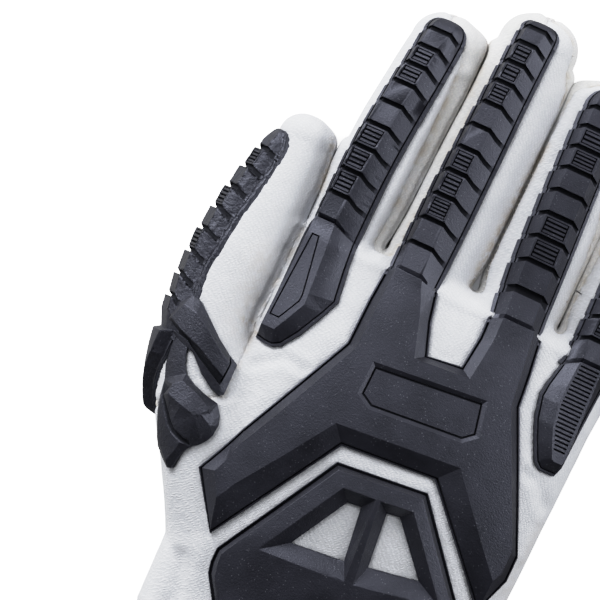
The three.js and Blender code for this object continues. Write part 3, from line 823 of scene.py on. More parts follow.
def relief(rings, holes=(), lines=(), bevel=CREST_BEVEL, facet=3.0):
    """A flat solid whose top is drawn by closed rings and open lines. The first ring is its outline, and the
    first ring of each hole is that hole's outline."""
    points, edges = [], []
    for line, closed in [(r, True) for r in [*rings, *(r for hole in holes for r in hole)]] + [
        (line, False) for line in lines
    ]:
        first = len(points)
        points += line
        edges += [(first + i, first + i + 1) for i in range(len(line) - 1)]
        if closed:
            edges.append((first + len(line) - 1, first))
    found = delaunay_2d_cdt([Vector(p[:2]) for p in points], edges, [], 1, 1e-5)
    flat = np.array([p[:] for p in found[0]])
    heights = np.array([points[source[0]][2:] for source in found[3]])
    centres = np.array([flat[list(f)].mean(0) for f in found[2]])
    keep = inside_polygon(centres, [p[:2] for p in rings[0]])
    for hole in holes:
        keep &= ~inside_polygon(centres, [p[:2] for p in hole[0]])
    faces = [tuple(f) for f, k in zip(found[2], keep) if k]
    return rounded(*close_down(np.column_stack([flat, heights]), faces), bevel, facet)


def close_down(points, faces):
    """Adds a skirt round a sheet's open edges, down into the cloth, and a bottom."""
    count = len(points)
    edges = {(a, b) for f in faces for a, b in zip(f, f[1:] + f[:1])}
    bottom = points.copy()
    bottom[:, 2] = SKIRT
    walls = [(b, a, a + count, b + count) for a, b in edges if (b, a) not in edges]
    closed = list(faces) + [tuple(i + count for i in reversed(f)) for f in faces] + walls
    return np.vstack([points, bottom]), closed


# A guard's rim, inwards from its outline: distance, height and painted groove shade (0 or 1, near black) of
# the lip and the gutter behind it
RIM = [(0, 0.9, 0), (0.4, 1.0, 0), (0.45, 0.1, 1), (1.1, 0.1, 1), (1.15, 1.2, 0)]


def rim_rings(corners, height, rim=RIM):
    """The rings of a plate's rim and its crest: a row for each corner, at its foot and at its top."""
    rings = []
    for distance, level, groove_shade in rim:
        ring = []
        for x, y, top_x, top_y in corners:
            share = min(distance / math.dist((x, y), (top_x, top_y)), 0.8 * distance / rim[-1][0])
            ring.append((x + (top_x - x) * share, y + (top_y - y) * share, level, groove_shade))
        rings.append(ring)
    return rings + [at_height([corner[2:] for corner in corners], height)]


def drape(points, tilt=0, x=0, z=0):
    """Lays flat points (x, y, height) on the glove. Their plane leans by tilt degrees about the line x, z."""
    lean = math.radians(tilt)
    up = np.tile([math.sin(lean), 0, math.cos(lean)], (len(points), 1))
    across = np.array([math.cos(lean), 0, -math.sin(lean)])
    start = np.stack([np.full(len(points), float(x)), points[:, 1], np.full(len(points), float(z))], 1)
    start = start + across * (points[:, 0] - x)[:, None]
    feet = surface_points(start, up)
    return np.column_stack([feet + normals_at(feet) * points[:, 2:3], points[:, 3]])


PLATE_HEIGHT = 4.2
KNUCKLE_PLATE = [
    (-39.5, -36.5, -34.5, -35.3),
    (-28, -53, -30.5, -42.1),
    (-3.6, -12.4, -7.8, -7.2),
    (25.6, -9.9, 30.6, -3.8),
    (54, -40.5, 52.6, -30),
    (58.4, -29, 54, -27),
    (58.4, -21, 54, -19.6),
    (40, 20, 36.6, 19),
    (39.2, 30, 35.4, 30),
    (37.9, 40.7, 34, 41.2),
    (34, 41.6, 33.8, 41.4),
    (24.4, 41.6, 24.6, 41.4),
    (20.2, 40.7, 24.4, 41.2),
    (20.2, 34, 24.3, 34),
    (19, 23.8, 22.4, 20.8),
    (8.6, 22.4, 5, 19.4),
    (5.4, 32, 1.4, 31),
    (3.6, 40.7, -2.4, 41.2),
    (-2.4, 41.6, -2.6, 41.4),
    (-10.4, 41.6, -10.2, 41.4),
    (-13.7, 40.7, -10.4, 41.2),
    (-14.6, 30, -11.2, 30),
    (-15, 16, -11.6, 15.2),
]
NAME_PANEL = [(-5.5, 13.6), (-5.8, 3.2), (-1, 0.4), (28, 3), (32, 6.4), (29.8, 17.2)]
HAND_PLATE = [
    (-24.3, -56, -21.8, -56.6),
    (-24.3, -60.5, -21.6, -60),
    (-23.5, -64, -20.8, -63.4),
    (-19, -71, -16.2, -70),
    (-13, -79, -11.2, -76.2),
    (46.5, -72.4, 44.4, -69.8),
    (50.5, -63, 48, -62),
    (53, -55, 50.4, -54.6),
    (52.5, -47, 49.6, -47.4),
    (25.6, -14.4, 24.5, -16.6),
    (-2.8, -17.3, -1.4, -19.2),
]
HAND_RIM = [(0, 0.9, 0), (0.3, 0.95, 0), (0.35, 0, 1), (1.15, 0, 1), (1.2, 1.4, 0)]
LEFT_WINDOW = [(-5, -45, -13, -50.6), (11.5, -43.3, 14, -48.6), (9.3, -26.5, 12.2, -22.4), (5, -27, 2, -23.3)]
RIGHT_WINDOW = [
    (18.8, -42, 16.6, -48.3),
    (34.2, -39.4, 42, -43.4),
    (21, -24.4, 23.6, -21.1),
    (17, -25, 13.4, -22.3),
]
WINDOW_RIM = [(0, 0.9, 0), (0.4, 0.95, 0)]
HAND_HEIGHT = 3.7
WINDOW_HEIGHT = 4.5
PANEL_TOP = -50.0
PANEL_END = -80.0
PANEL_LOW = 2.0


def knuckle_plate():
    profile = ((0, 0, 0), (1.1, -0.8, 0), (1.15, -1.5, 1), (1.7, -1.5, 1), (1.75, -0.75, 0))
    name_rings = [at_height(inset(NAME_PANEL, at), PLATE_HEIGHT + level, groove_shade) for at, level, groove_shade in profile]
    points, faces = relief(rim_rings(KNUCKLE_PLATE, PLATE_HEIGHT) + name_rings)
    return drape(points), faces


def hand_plate():
    windows = [rim_rings(corners, WINDOW_HEIGHT, WINDOW_RIM) for corners in (LEFT_WINDOW, RIGHT_WINDOW)]
    points, faces = relief(rim_rings(HAND_PLATE, HAND_HEIGHT, HAND_RIM), holes=windows)
    fall = (PANEL_TOP - points[:, 1]) / (PANEL_TOP - PANEL_END)
    slope = HAND_HEIGHT + 0.2 - (HAND_HEIGHT + 0.2 - PANEL_LOW) * fall
    points[:, 2] = np.minimum(points[:, 2], slope)
    return drape(points), faces


# Foot of the thumb's guard: a prong over the web of the thumb, a pad on its ball and a tongue down its side
def web_prong():
    outline = [
        (-66, 6), (-62.4, 9.4), (-59.5, 8.5), (-55, 4.9), (-50, 0.6), (-45.6, -2.5), (-42.3, -4.3),
        (-42, -14), (-43.2, -15), (-46.4, -13.7), (-50.8, -10.9), (-53, -8.7), (-55.6, -6.2), (-61, -4.4),
        (-66, -2),
    ]
    top = [
        (-62, 5.8), (-58.6, 4.9), (-54.2, 1.6), (-49.4, -2.2), (-45.3, -4.9), (-45.1, -5.6), (-45.1, -9.4),
        (-54, -4.2), (-60, -1.4), (-63.5, 0.8),
    ]
    gutter = [(-62, -2.4), (-58.2, -3.2), (-53.6, -6.4), (-44.7, -11.6), (-44.7, -4.7)]
    flange = [(-62.1, -2.8), (-58.1, -3.7), (-53.4, -6.9), (-44.3, -12.2), (-44.3, -4.5)]
    rings = [at_height(outline, 1.1), at_height(top, 3.7)]
    lines = [at_height(gutter, 0.7, 1), at_height(flange, 1.7)]
    points, faces = relief(rings, lines=lines, bevel=FINE_BEVEL, facet=FINE_FACET)
    return drape(points), faces


def ball_pad():
    outline = [
        (-57.8, -3.6), (-56.8, -7.6), (-55.8, -10.5), (-54.2, -12.9), (-50.6, -14.8), (-46.7, -16.1),
        (-42.4, -17.1), (-40.1, -20.1), (-39.2, -23), (-39.4, -26.2), (-40.4, -28.6), (-41.8, -30.4),
        (-43.7, -31.9), (-45.6, -34.6), (-46.3, -38), (-46.9, -40.4), (-48.2, -40.7), (-51.2, -38.6),
        (-54.2, -36.3), (-55.5, -34), (-57, -29.6), (-58.2, -26.4), (-59.2, -21.7), (-59.8, -16.9),
        (-61.5, -12.8), (-62.4, -3.9),
    ]
    facet = [
        (-53.8, -15, 3.4, 0), (-49.4, -16.6, 3.6, 0), (-43.9, -19.5, 3.8, 0), (-45.2, -21.9, 4.4, 0),
        (-46.7, -22.9, 4.7, 0), (-50.5, -21.6, 4.8, 0), (-55.1, -19.8, 4.4, 0), (-55.4, -16.9, 3.8, 0),
    ]
    shoulder = [(-43, -20.8), (-41.4, -24), (-42.6, -28), (-45.2, -30)]
    groove = [(-57.4, -20.9), (-54.5, -24.7), (-52.1, -27.7), (-50, -29.6), (-46.4, -31)]
    left_bank = [(-57.7, -21.5), (-55, -25.3), (-52.6, -28.4), (-50.3, -30.4), (-46.9, -31.8)]
    right_bank = [(-56.8, -20.8), (-54, -24.1), (-51.6, -27), (-49.7, -28.8), (-46.4, -30.1)]
    keel = [(-56.6, -26), (-53.6, -33.4), (-48.4, -38.4), (-47.2, -34.6)]
    lines = [
        at_height(shoulder, 2.9), at_height(groove, 1.0, 1), at_height(left_bank, 2.3),
        at_height(right_bank, 2.7), at_height(keel, 2.3),
    ]
    points, faces = relief([at_height(outline, 1.0), facet], lines=lines, bevel=FINE_BEVEL, facet=FINE_FACET)
    return drape(points, tilt=-12, x=-50, z=28), faces


SIDE_TONGUE = [
    (-64, -2, -62, -4),
    (-62.5, -19, -60.4, -18.4),
    (-59, -29.8, -58.6, -26.8),
    (-56.2, -27.8, -57, -25.8),
    (-53.2, -22, -55.4, -21.4),
    (-49.4, -15.6, -52, -15),
    (-46.8, -11, -49.6, -10.6),
    (-45, -2, -48, -4),
]
TONGUE_HEIGHT = 4.4
TONGUE_RIM = [(0, 0.9, 0), (0.6, 1.0, 0)]
THUMB_TILT = -62


def side_tongue():
    rings = rim_rings(SIDE_TONGUE, TONGUE_HEIGHT, TONGUE_RIM)
    points, faces = relief(rings, bevel=FINE_BEVEL, facet=FINE_FACET)
    return drape(points, tilt=THUMB_TILT, x=-51, z=13), faces


# Strips that run along the fingers
GROOVE_HALF = 0.78
WIDE_GROOVE = 1.25
GROOVE_DEPTH = 2.2
RIB_PITCH = 1.25
RIB_SHARE = 0.5
POCKET_DEPTH = 0.95
POCKET_START = 0.45
FRAME_WIDTH = 0.55
RIB_GAP = 0.4
CHEVRON = 0.6
CHEVRON_REACH = 4.6
FLANGE = 1.05
LIP = 0.9
GUTTER = 0.45
LOW = 1.35
TIP_SHARES = (0.0, 0.3, 0.52, 0.7, 0.84, 0.94, 0.99)


def strip_frame(spec, y):
    """Points on the cloth along a strip's middle line, with the directions up out of it and across it."""
    lean = math.radians(spec.get("tilt", 0))
    count = len(y)
    view = np.tile([math.sin(lean), 0, math.cos(lean)], (count, 1))
    x = column(spec["rows"], "x", y)
    middle = surface_points(np.stack([x, y, np.full(count, float(spec.get("z", 0)))], 1), view)
    up = normals_at(middle)
    up[:, 1] = 0
    up = unit(up)
    return middle, up, np.stack([up[:, 2], np.zeros(count), -up[:, 0]], 1)


def cloth_height(middle, up, across, t):
    """Height of the cloth over a strip's middle line, at a distance t across it."""
    feet = surface_points(middle + across * t[:, None], up, 9.0, -18.0)
    return ((feet - middle) * up).sum(1)


def stations_of(spec):
    """The stations of a strip: y, groove, pocket, rib, low start, share of the block and share of the tip."""
    kinds = spec["kinds"]
    half = [WIDE_GROOVE if i < spec.get("wide", 0) else GROOVE_HALF for i in range(len(kinds))]
    edges = [spec["rows"]["y"][0], *spec["grooves"], spec["rows"]["y"][-1]]
    result = []
    for i, kind in enumerate(kinds):
        low = edges[i] + (half[i - 1] if i else 0)
        high = edges[i + 1] - (half[i] if i + 1 < len(kinds) else 0)
        if kind == "low":
            result += [(y, 0, 0, 0, 1, 0, 0) for y in (low, high)]
            continue
        if i + 1 == len(kinds):
            marks = [(low + (high - low) * u, 0, 0) for u in TIP_SHARES]
        elif kind == "ribbed":
            start, end = low + POCKET_START, high - POCKET_START
            count = max(2, round((end - start) / RIB_PITCH))
            pitch = (end - start) / count
            marks = [(low, 0, 0), (start, 0, 0), (start, 1, 0)]
            for k in range(count):
                near = start + pitch * (k + 0.5 - RIB_SHARE / 2)
                far = start + pitch * (k + 0.5 + RIB_SHARE / 2)
                marks += [(near, 1, 0), (near, 1, 1), (far, 1, 1), (far, 1, 0)]
            marks += [(end, 1, 0), (end, 0, 0), (high, 0, 0)]
        else:
            bends = [y for y in spec.get("bends", ()) if low < y < high]
            marks = [(y, 0, 0) for y in (low, *bends, high)]
        for y, pocket, rib in marks:
            share = (y - low) / (high - low)
            result.append((y, 0, pocket, rib, 0, share, share if i + 1 == len(kinds) else 0))
        if i + 1 < len(kinds):
            middle = edges[i + 1]
            result += [(middle - half[i], 1, 0, 0, 0, 0, 0), (middle + half[i], 1, 0, 0, 0, 0, 0)]
    return np.array(result, float).T


def strip_mesh(spec):
    """A guard strip as a grid of stations by columns, closed at its ends."""
    rows = spec["rows"]
    y, groove, pocket, rib, start, share, tip = stations_of(spec)
    count = len(y)
    c = {name: column(rows, name, y) for name in ("left", "right", "topLeft", "topRight", "height")}
    middle, up, across = strip_frame(spec, y)
    barb = spec.get("barb", 0.35) * (share - 0.5) - 0.25 * groove
    barb = np.where((start > 0) | (tip > 0), 0, barb)
    height = c["height"] + spec.get("step", 0) * (share - 0.5) * (1 - start) * (tip == 0)
    round_off = (1 - tip ** 2.4) ** (1 / 2.4)
    depth = spec.get("depth", GROOVE_DEPTH) * groove
    top = (height - depth) * (0.5 + 0.5 * round_off)
    top = np.where(start > 0, LOW, np.maximum(top, LOW))
    well = top - POCKET_DEPTH * pocket
    ribs = np.where(rib > 0, top, well)
    flange = np.minimum(FLANGE, top * 0.75)
    lip = spec.get("lip", LIP)
    gutter = flange - (0 if "flush" in spec else 0.6)
    # The last value of each column is its painted groove shade: 1 turns the rubber near black in grooves and
    # gutters
    no_groove_shade = np.zeros(count)
    gutter_groove_shade = no_groove_shade + ("flush" not in spec)
    columns = []
    for side, foot, crest in ((-1, c["left"], c["topLeft"]), (1, c["right"], c["topRight"])):
        grow = barb if side < 0 else 0 * barb
        outer = foot + grow
        ledge = outer - lip - spec.get("gutter", GUTTER)
        bank = (flange + 0.2 + height * (0.5 + 0.5 * round_off)) / 2
        bank = np.where(start > 0, LOW / 2, np.maximum(bank - 0.8 * depth, 0.3))
        columns += [
            (side * outer, np.full(count, SKIRT), 1, no_groove_shade),
            (side * outer, flange, 1, no_groove_shade),
            (side * (outer - lip), flange, 1, no_groove_shade),
            (side * (outer - lip), gutter, 1, gutter_groove_shade),
            (side * ledge, gutter, 1, gutter_groove_shade),
            (side * ledge, flange + 0.2, 1, no_groove_shade),
            (side * (ledge + crest) / 2, bank, 0.5, groove),
            (side * (crest + grow * 0.5), top, 0, groove),
            (side * (crest - FRAME_WIDTH), top, 0, groove),
            (side * (crest - FRAME_WIDTH), well, 0, np.maximum(groove, pocket)),
            (side * (crest - FRAME_WIDTH - RIB_GAP), well, 0, np.maximum(groove, pocket)),
            (side * (crest - FRAME_WIDTH - RIB_GAP), ribs, 0, np.maximum(groove, pocket * (1 - rib))),
        ]
    half = len(columns) // 2
    columns = columns[:half] + columns[half:][::-1]
    t = np.stack([across_by for across_by, _, _, _ in columns], 1)
    centre = ((c["right"] - c["left"]) / 2)[:, None]
    t = centre + (t - centre) * round_off[:, None]
    h = np.stack([level for _, level, _, _ in columns], 1)
    from_cloth = np.array([share_of_cloth for _, _, share_of_cloth, _ in columns])
    groove_shade = np.stack([groove_shade_value for _, _, _, groove_shade_value in columns], 1)
    width = t.shape[1]
    repeated = [np.repeat(a, width, 0) for a in (middle, up, across)]
    skin = cloth_height(*repeated, t.ravel()).reshape(count, width)
    h = h + skin * from_cloth
    edge = np.where(t < 0, c["topLeft"][:, None], c["topRight"][:, None])
    out = np.clip(np.abs(t) - edge, 0, CHEVRON_REACH)
    ease = smooth(rows["y"][0], rows["y"][0] + 4, y)[:, None] * (1 - tip)[:, None]
    points = middle[:, None] + across[:, None] * t[..., None] + up[:, None] * h[..., None]
    points[..., 1] = y[:, None] - CHEVRON * out * ease

    faces = []
    for j in range(count - 1):
        a = j * width
        faces += [(a + i, a + i + 1, a + width + i + 1, a + width + i) for i in range(width - 1)]
        faces.append((a + width - 1, a, a + width, a + 2 * width - 1))
    faces.append(tuple(range(width))[::-1])
    faces.append(tuple(range((count - 1) * width, count * width)))
    return rounded(np.column_stack([points.reshape(-1, 3), groove_shade.ravel()]), faces, 0.12)


def lay_on_strip(points, spec):
    """Lays a strip's flat base (x, y, height) on its finger, with a flat top and a rim on the cloth."""
    middle, up, across = strip_frame(spec, points[:, 1])
    t = points[:, 0] - column(spec["rows"], "x", points[:, 1])
    skin = cloth_height(middle, up, across, t)
    height = points[:, 2] + skin * smooth(2.8, 1.2, points[:, 2])
    placed = middle + across * t[:, None] + up * height[:, None]
    placed[:, 1] = points[:, 1]
    return np.column_stack([placed, points[:, 3]])


STRIP = "y x left right topLeft topRight height"
INDEX_STRIP = dict(
    rows=table(
        STRIP,
        (13, -33.5, 7.8, 6, 5.4, 1, 3.8),
        (25, -33.3, 8, 11, 5.4, 1, 3.8),
        (34, -33.3, 8, 10, 5.4, 1, 3.8),
        (44, -33.3, 8.1, 8.8, 5.4, 1, 3.8),
        (62, -32.9, 8.2, 8.6, 5.2, 1.3, 3.8),
        (75, -32.2, 8.1, 8.4, 5.2, 1.9, 3.7),
        (90, -30.9, 7.5, 8.3, 4.9, 2.3, 3.5),
        (104, -29.2, 7, 8, 4.2, 2.3, 3.2),
        (113, -28, 6.8, 7.5, 4, 2.7, 2.8),
        (117.8, -27.5, 6.6, 7.2, 3.6, 2.6, 2),
    ),
    grooves=[47.4, 55.5, 63.5, 71.5, 79.4, 87.1, 94.2, 100.7, 107.2, 113.2],
    kinds="low plain ribbed ribbed ribbed plain plain ribbed ribbed plain plain".split(),
    start=43.0,
)
MIDDLE_STRIP = dict(
    rows=table(
        STRIP,
        (39.5, -5.3, 8.2, 8.4, 4.9, 2.7, 3.8),
        (60, -4.8, 8.5, 8.6, 4.8, 2, 3.8),
        (75, -4.2, 8.3, 8.3, 4.9, 1.4, 3.7),
        (90, -3.6, 7.8, 7.9, 5, 1.2, 3.5),
        (107, -2.9, 7.2, 7.4, 4.4, 1.4, 3.2),
        (120, -2.1, 6.8, 7, 4.2, 1.6, 2.9),
        (128.6, -1.4, 6.4, 6.6, 3.8, 2.2, 2.2),
    ),
    grooves=[42.7, 52, 60.3, 68.4, 76.4, 84.2, 91.9, 99.6, 107, 113.8, 120.6, 126],
    wide=1,
    kinds="low plain plain ribbed ribbed ribbed plain plain ribbed ribbed ribbed plain plain".split(),
)
RING_STRIP = dict(
    rows=table(
        STRIP,
        (39.5, 29, 8.6, 8.6, 4.6, 4.4, 3.8),
        (62, 27.9, 8.8, 8.8, 4.5, 4.3, 3.8),
        (84, 27.2, 8.3, 8.3, 4.2, 4, 3.6),
        (104, 26.7, 7.6, 7.6, 3.9, 3.8, 3.2),
        (113, 26.5, 7, 7, 3.6, 3.5, 2.8),
        (118.6, 26.4, 6.6, 6.6, 3.4, 3.3, 2.2),
    ),
    grooves=[42.7, 52.4, 61.8, 69.6, 77.2, 84.8, 92.2, 99.2, 106, 112.4],
    wide=2,
    kinds="low plain plain ribbed ribbed plain plain ribbed ribbed plain plain".split(),
)
LITTLE_STRIP = dict(
    rows=table(
        STRIP,
        (8, 54.6, 5, 5, 2, 3.2, 2.2),
        (27, 53.2, 9.6, 7.4, 3.8, 4.4, 3.6),
        (38, 53.6, 8.4, 7.6, 3, 4, 3.6),
        (50, 54.2, 7.8, 7.6, 3.6, 3.8, 3.5),
        (66, 54.6, 7.4, 7.2, 3.4, 3.6, 3.4),
        (84, 54.4, 6.6, 6.4, 3, 3.2, 2.8),
        (93.4, 54.1, 6, 6, 2.8, 3, 2),
    ),
    grooves=[41, 48.4, 55.6, 62.6, 69.4, 76, 82.4, 88],
    kinds="low plain ribbed ribbed plain ribbed ribbed plain plain".split(),
    start=37.5,
)
THUMB_STRIP = dict(
    tilt=THUMB_TILT,
    z=13,
    barb=0.7,
    step=0.5,
    depth=1.3,
    bends=[2.2],
    lip=0.35,
    gutter=0.3,
    flush=True,
    rows=table(
        STRIP,
        (-5.5, -51.4, 7.4, 7.6, 3.6, 3, 1.2),
        (2.2, -53, 8, 8.8, 4.2, 3.4, 3.4),
        (9, -53.8, 8.1, 9.1, 4.2, 3.4, 3.5),
        (14, -54.5, 8.2, 8, 4.2, 3.3, 3.6),
        (20, -54.6, 8.2, 7.3, 4.2, 3.2, 3.6),
        (28, -54.6, 8.1, 7.6, 4.1, 3.2, 3.6),
        (40, -54, 7.7, 7.1, 3.8, 3, 3.4),
        (48, -53.2, 7.4, 6.8, 3.6, 2.9, 3.3),
        (58, -52, 6.8, 5.9, 3.3, 2.6, 2.9),
        (66.4, -51.4, 6.2, 4.9, 3, 2.1, 2.2),
    ),
    grooves=[6.8, 14, 21.6, 29.4, 37, 44.6, 52, 59],
    kinds="plain plain plain ribbed plain ribbed plain ribbed plain".split(),
)
INDEX_BASE = [
    (-38.8, 46.9, -38.7, 46.7),
    (-41.4, 45.6, -38.9, 46.5),
    (-41.5, 30, -39.2, 30),
    (-41.7, 12, -39.8, 12.4),
    (-41.7, 5.8, -39.8, 10.4),
    (-38, 5.3, -38, 10.4),
    (-35, 5.3, -35.3, 10.4),
    (-32.3, 6.6, -34.8, 11.4),
    (-28.5, 12, -32.4, 15.8),
    (-24, 21.2, -29.9, 20.9),
    (-22.3, 25.6, -30.2, 24.4),
    (-23.7, 35, -31.2, 35),
    (-24.6, 43.4, -32.2, 46.5),
    (-32.3, 46.9, -32.4, 46.7),
]
INDEX_RECESS = [(-37.6, 41.6), (-35, 41.6), (-31.6, 23.6), (-31.6, 21.2), (-35.4, 14), (-38.9, 14)]
LITTLE_BASE = [
    (50.6, 40.6, 50.7, 40.4),
    (46.2, 37.4, 50.5, 40.2),
    (44.2, 30, 49.6, 32),
    (43.6, 26.5, 49.2, 26),
    (45, 19.5, 50.2, 19),
    (47.6, 13, 52.4, 13.4),
    (50.4, 7.4, 53.6, 10.6),
    (52.6, 5.6, 54.6, 9.8),
    (58.4, 5.6, 57.6, 9.8),
    (60, 9, 58.2, 11.4),
    (60.8, 24, 58, 24),
    (61.6, 37.6, 57.7, 40.2),
    (57.6, 40.6, 57.5, 40.4),
]
BASE_RIM = [(0, 0.9, 0), (0.75, 1.05, 0), (0.8, 0.3, 1), (1.2, 0.3, 1), (1.25, 1.2, 0)]


def index_base():
    """The broad lower block of the index guard, with a thin groove round its flat field."""
    profile = ((0, 0, 0), (0.05, -0.7, 1), (0.45, -0.7, 1), (0.5, -0.05, 0))
    recess = [at_height(inset(INDEX_RECESS, at), 3.8 + level, groove_shade) for at, level, groove_shade in profile]
    points, faces = relief(rim_rings(INDEX_BASE, 3.8, BASE_RIM) + recess, bevel=0.15, facet=2.0)
    return lay_on_strip(points, INDEX_STRIP), faces


def little_base():
    """The broad lower block of the little finger's guard, with thin ribs over its top."""
    slots = []
    for y in np.arange(13, 39.4, 1.3):
        left = np.interp(y, [13.4, 19, 26, 32, 40.5], [52.4, 50.2, 49.2, 49.6, 50.6]) + 0.7
        right = 57.2
        corners = [(left, y), (right, y), (right, y + 0.6), (left, y + 0.6)]
        slots.append([at_height(corners, 3.6), at_height(inset(corners, 0.05), 2.9, 1)])
    rings = [ring for slot in slots for ring in slot]
    points, faces = relief(rim_rings(LITTLE_BASE, 3.6, BASE_RIM) + rings, bevel=0.12, facet=2.0)
    return lay_on_strip(points, LITTLE_STRIP), faces


def started(spec):
    """A strip that starts part of the way along its table, inside the base or plate that it leaves."""
    rows = spec["rows"]
    first = spec["start"]
    ys = np.array([first, *(y for y in rows["y"] if y > first)])
    cut = {name: ys if name == "y" else column(rows, name, ys) for name in rows}
    return {**spec, "rows": cut}


def guards():
    """The five guards as points and faces, by the node that each one replaces."""
    return {
        "index_guard": merge(strip_mesh(started(INDEX_STRIP)), index_base()),
        "knuckle_guard": merge(knuckle_plate(), strip_mesh(MIDDLE_STRIP), strip_mesh(RING_STRIP)),
        "little_guard": merge(strip_mesh(started(LITTLE_STRIP)), little_base()),
        "hand_guard": hand_plate(),
        "thumb_guard": merge(roughened(*strip_mesh(THUMB_STRIP), height=0.16), web_prong(), ball_pad(),
                             roughened(*side_tongue(), height=0.1)),
    }


def add_guard(node, points, faces):
    obj = new_object(node + "_rubber", points[:, :3], faces)
    set_attribute(obj, "groove_shade", points[:, 3])
    obj.data.materials.append(rough_rubber if node == "thumb_guard" else rubber)
    weigh = obj.modifiers.new("normals", "WEIGHTED_NORMAL")
    weigh.weight = 100
    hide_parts(node)


# Materials
class Nodes:
    """A material's node tree, with short ways to add the nodes that the finishes share."""

    def __init__(self, name):
        self.material = bpy.data.materials.new(name)
        self.material.use_nodes = True
        self.nodes = self.material.node_tree.nodes
        self.links = self.material.node_tree.links
        self.shader = self.nodes["Principled BSDF"]
        self.place = self.nodes.new("ShaderNodeTexCoord").outputs["Object"]

    def plug(self, value, socket):
        if hasattr(value, "is_output"):
            self.links.new(value, socket)
        elif isinstance(value, tuple):
            socket.default_value = (*value, 1.0)
        else:
            socket.default_value = value

    def fill(self, node, inputs):
        """Puts numbers, colours or other nodes' outputs into a node's inputs."""
        for key, value in inputs.items():
            self.plug(value, node.inputs[key])
        return node

    def add(self, kind, inputs):
        return self.fill(self.nodes.new("ShaderNode" + kind), inputs)

    def mix(self, factor, a, b):
        node = self.nodes.new("ShaderNodeMix")
        node.data_type = "RGBA"
        return self.fill(node, {0: factor, 6: a, 7: b}).outputs[2]

    def math(self, kind, a, b=0.0):
        node = self.add("Math", {0: a, 1: b})
        node.operation = kind
        return node.outputs[0]

    def noise(self, scale, detail=3.0, roughness=0.55):
        inputs = {"Vector": self.place, "Scale": scale, "Detail": detail, "Roughness": roughness}
        return self.add("TexNoise", inputs).outputs["Fac"]

    def cells(self, scale):
        return self.add("TexVoronoi", {"Vector": self.place, "Scale": scale}).outputs["Distance"]

    def bands(self, turn, pitch, distortion):
        """Soft even stripes, turned in all three directions so that they show on every side."""
        mapping = self.nodes.new("ShaderNodeMapping")
        mapping.inputs["Rotation"].default_value = (0.5, -0.6, turn)
        self.links.new(self.place, mapping.inputs["Vector"])
        scale = math.pi * 2 / 20 / (pitch * MM)
        wave = self.add("TexWave", {"Vector": mapping.outputs[0], "Scale": scale, "Distortion": distortion,
                                    "Detail": 1.0, "Detail Scale": 1.5})
        wave.bands_direction = "X"
        return wave.outputs["Fac"]

    def remap(self, value, low, high, to_low=0.0, to_high=1.0):
        node = self.add("MapRange", {0: value, 1: low, 2: high, 3: to_low, 4: to_high})
        node.interpolation_type = "SMOOTHSTEP"
        return node.outputs[0]

    def attribute(self, name):
        node = self.nodes.new("ShaderNodeAttribute")
        node.attribute_name = name
        return node.outputs["Fac"]

    def finish(self, colour, relief, strength, distance):
        """Plugs in the colour and a bump of some height in mm."""
        bump = self.add("Bump", {"Strength": strength, "Distance": distance * MM, "Height": relief})
        self.fill(self.shader, {"Base Color": colour, "Normal": bump.outputs[0]})
        return self.material


SOIL = (0.36, 0.29, 0.2)
# Grey for the painted shade in the knit's hollows, and for the fibres' random tone
LOOP_SHADE_AND_FIBRE_GREY = (0.36, 0.38, 0.42)
THREAD_CLEAN = (0.78, 0.78, 0.8)
THREAD_SOILED = (0.52, 0.49, 0.43)
RUBBER_DARK = (0.004, 0.004, 0.006)
RUBBER_LIGHT = (0.008, 0.008, 0.012)
RUBBER_TINT = (0.75, 0.79, 1.0)
LINT = (0.4, 0.4, 0.42)
DUST = (0.13, 0.135, 0.16)
GROOVE_SHADE_BLACK = (0.001, 0.001, 0.0012)
PIT_SHADE_BLACK = (0.002, 0.002, 0.0025)


def cloth_material(name, light, dull, soil):
    """Knitted cloth: fine loops in crossed rows with painted shade in their hollows, a fuzz of fibres, and
    soil along the seams.
    """
    m = Nodes(name)
    m.fill(m.shader, {"Roughness": 0.95, "Specular IOR Level": 0.15, "Sheen Weight": 0.3,
                      "Sheen Roughness": 0.6})
    loops = m.math("MULTIPLY", m.bands(0.45, 0.75, 5.0), m.bands(-0.95, 0.95, 5.0))
    fibres = m.noise(1500, 3, 0.7)
    # Patches of noise that set how strong the painted loop shade is
    worn = m.remap(m.noise(120, 3), 0.32, 0.6, 0.25, 1.0)
    near = m.remap(m.attribute("seam"), 0.0, 2.0, 1.0, 0.0)
    patches = m.remap(m.noise(170, 3), 0.42, 0.62)
    dirt = m.math("MULTIPLY", m.math("MULTIPLY", near, patches), soil)
    stain = m.math("MULTIPLY", m.attribute("stain"), m.remap(m.noise(420, 3, 0.7), 0.3, 0.62))
    colour = m.mix(m.remap(m.noise(45, 4), 0.35, 0.65), light, dull)
    # Painted shade: the knit's low loops, where the bump sinks, are darkened, more in some patches than
    # others
    painted_loop_shade = m.math("MULTIPLY", m.remap(loops, 0.02, 0.4, 0.34, 0.0), worn)
    colour = m.mix(painted_loop_shade, colour, LOOP_SHADE_AND_FIBRE_GREY)
    # Fine grey fibre tone at random
    colour = m.mix(m.remap(m.noise(1100, 3, 0.7), 0.36, 0.62, 0.22, 0.0), colour, LOOP_SHADE_AND_FIBRE_GREY)
    colour = m.mix(m.math("MAXIMUM", dirt, m.math("MULTIPLY", stain, 0.75)), colour, SOIL)
    relief = m.math("ADD", m.math("MULTIPLY", loops, 0.6), m.math("MULTIPLY", fibres, 1.2))
    return m.finish(colour, relief, 0.6, 0.26)


def thread_material():
    """Plied sewing thread with a little soil."""
    m = Nodes("thread")
    m.fill(m.shader, {"Roughness": 0.85, "Specular IOR Level": 0.2})
    colour = m.mix(m.remap(m.noise(140, 3), 0.4, 0.66), THREAD_CLEAN, THREAD_SOILED)
    return m.finish(colour, m.bands(0.9, 0.25, 0.4), 0.5, 0.05)


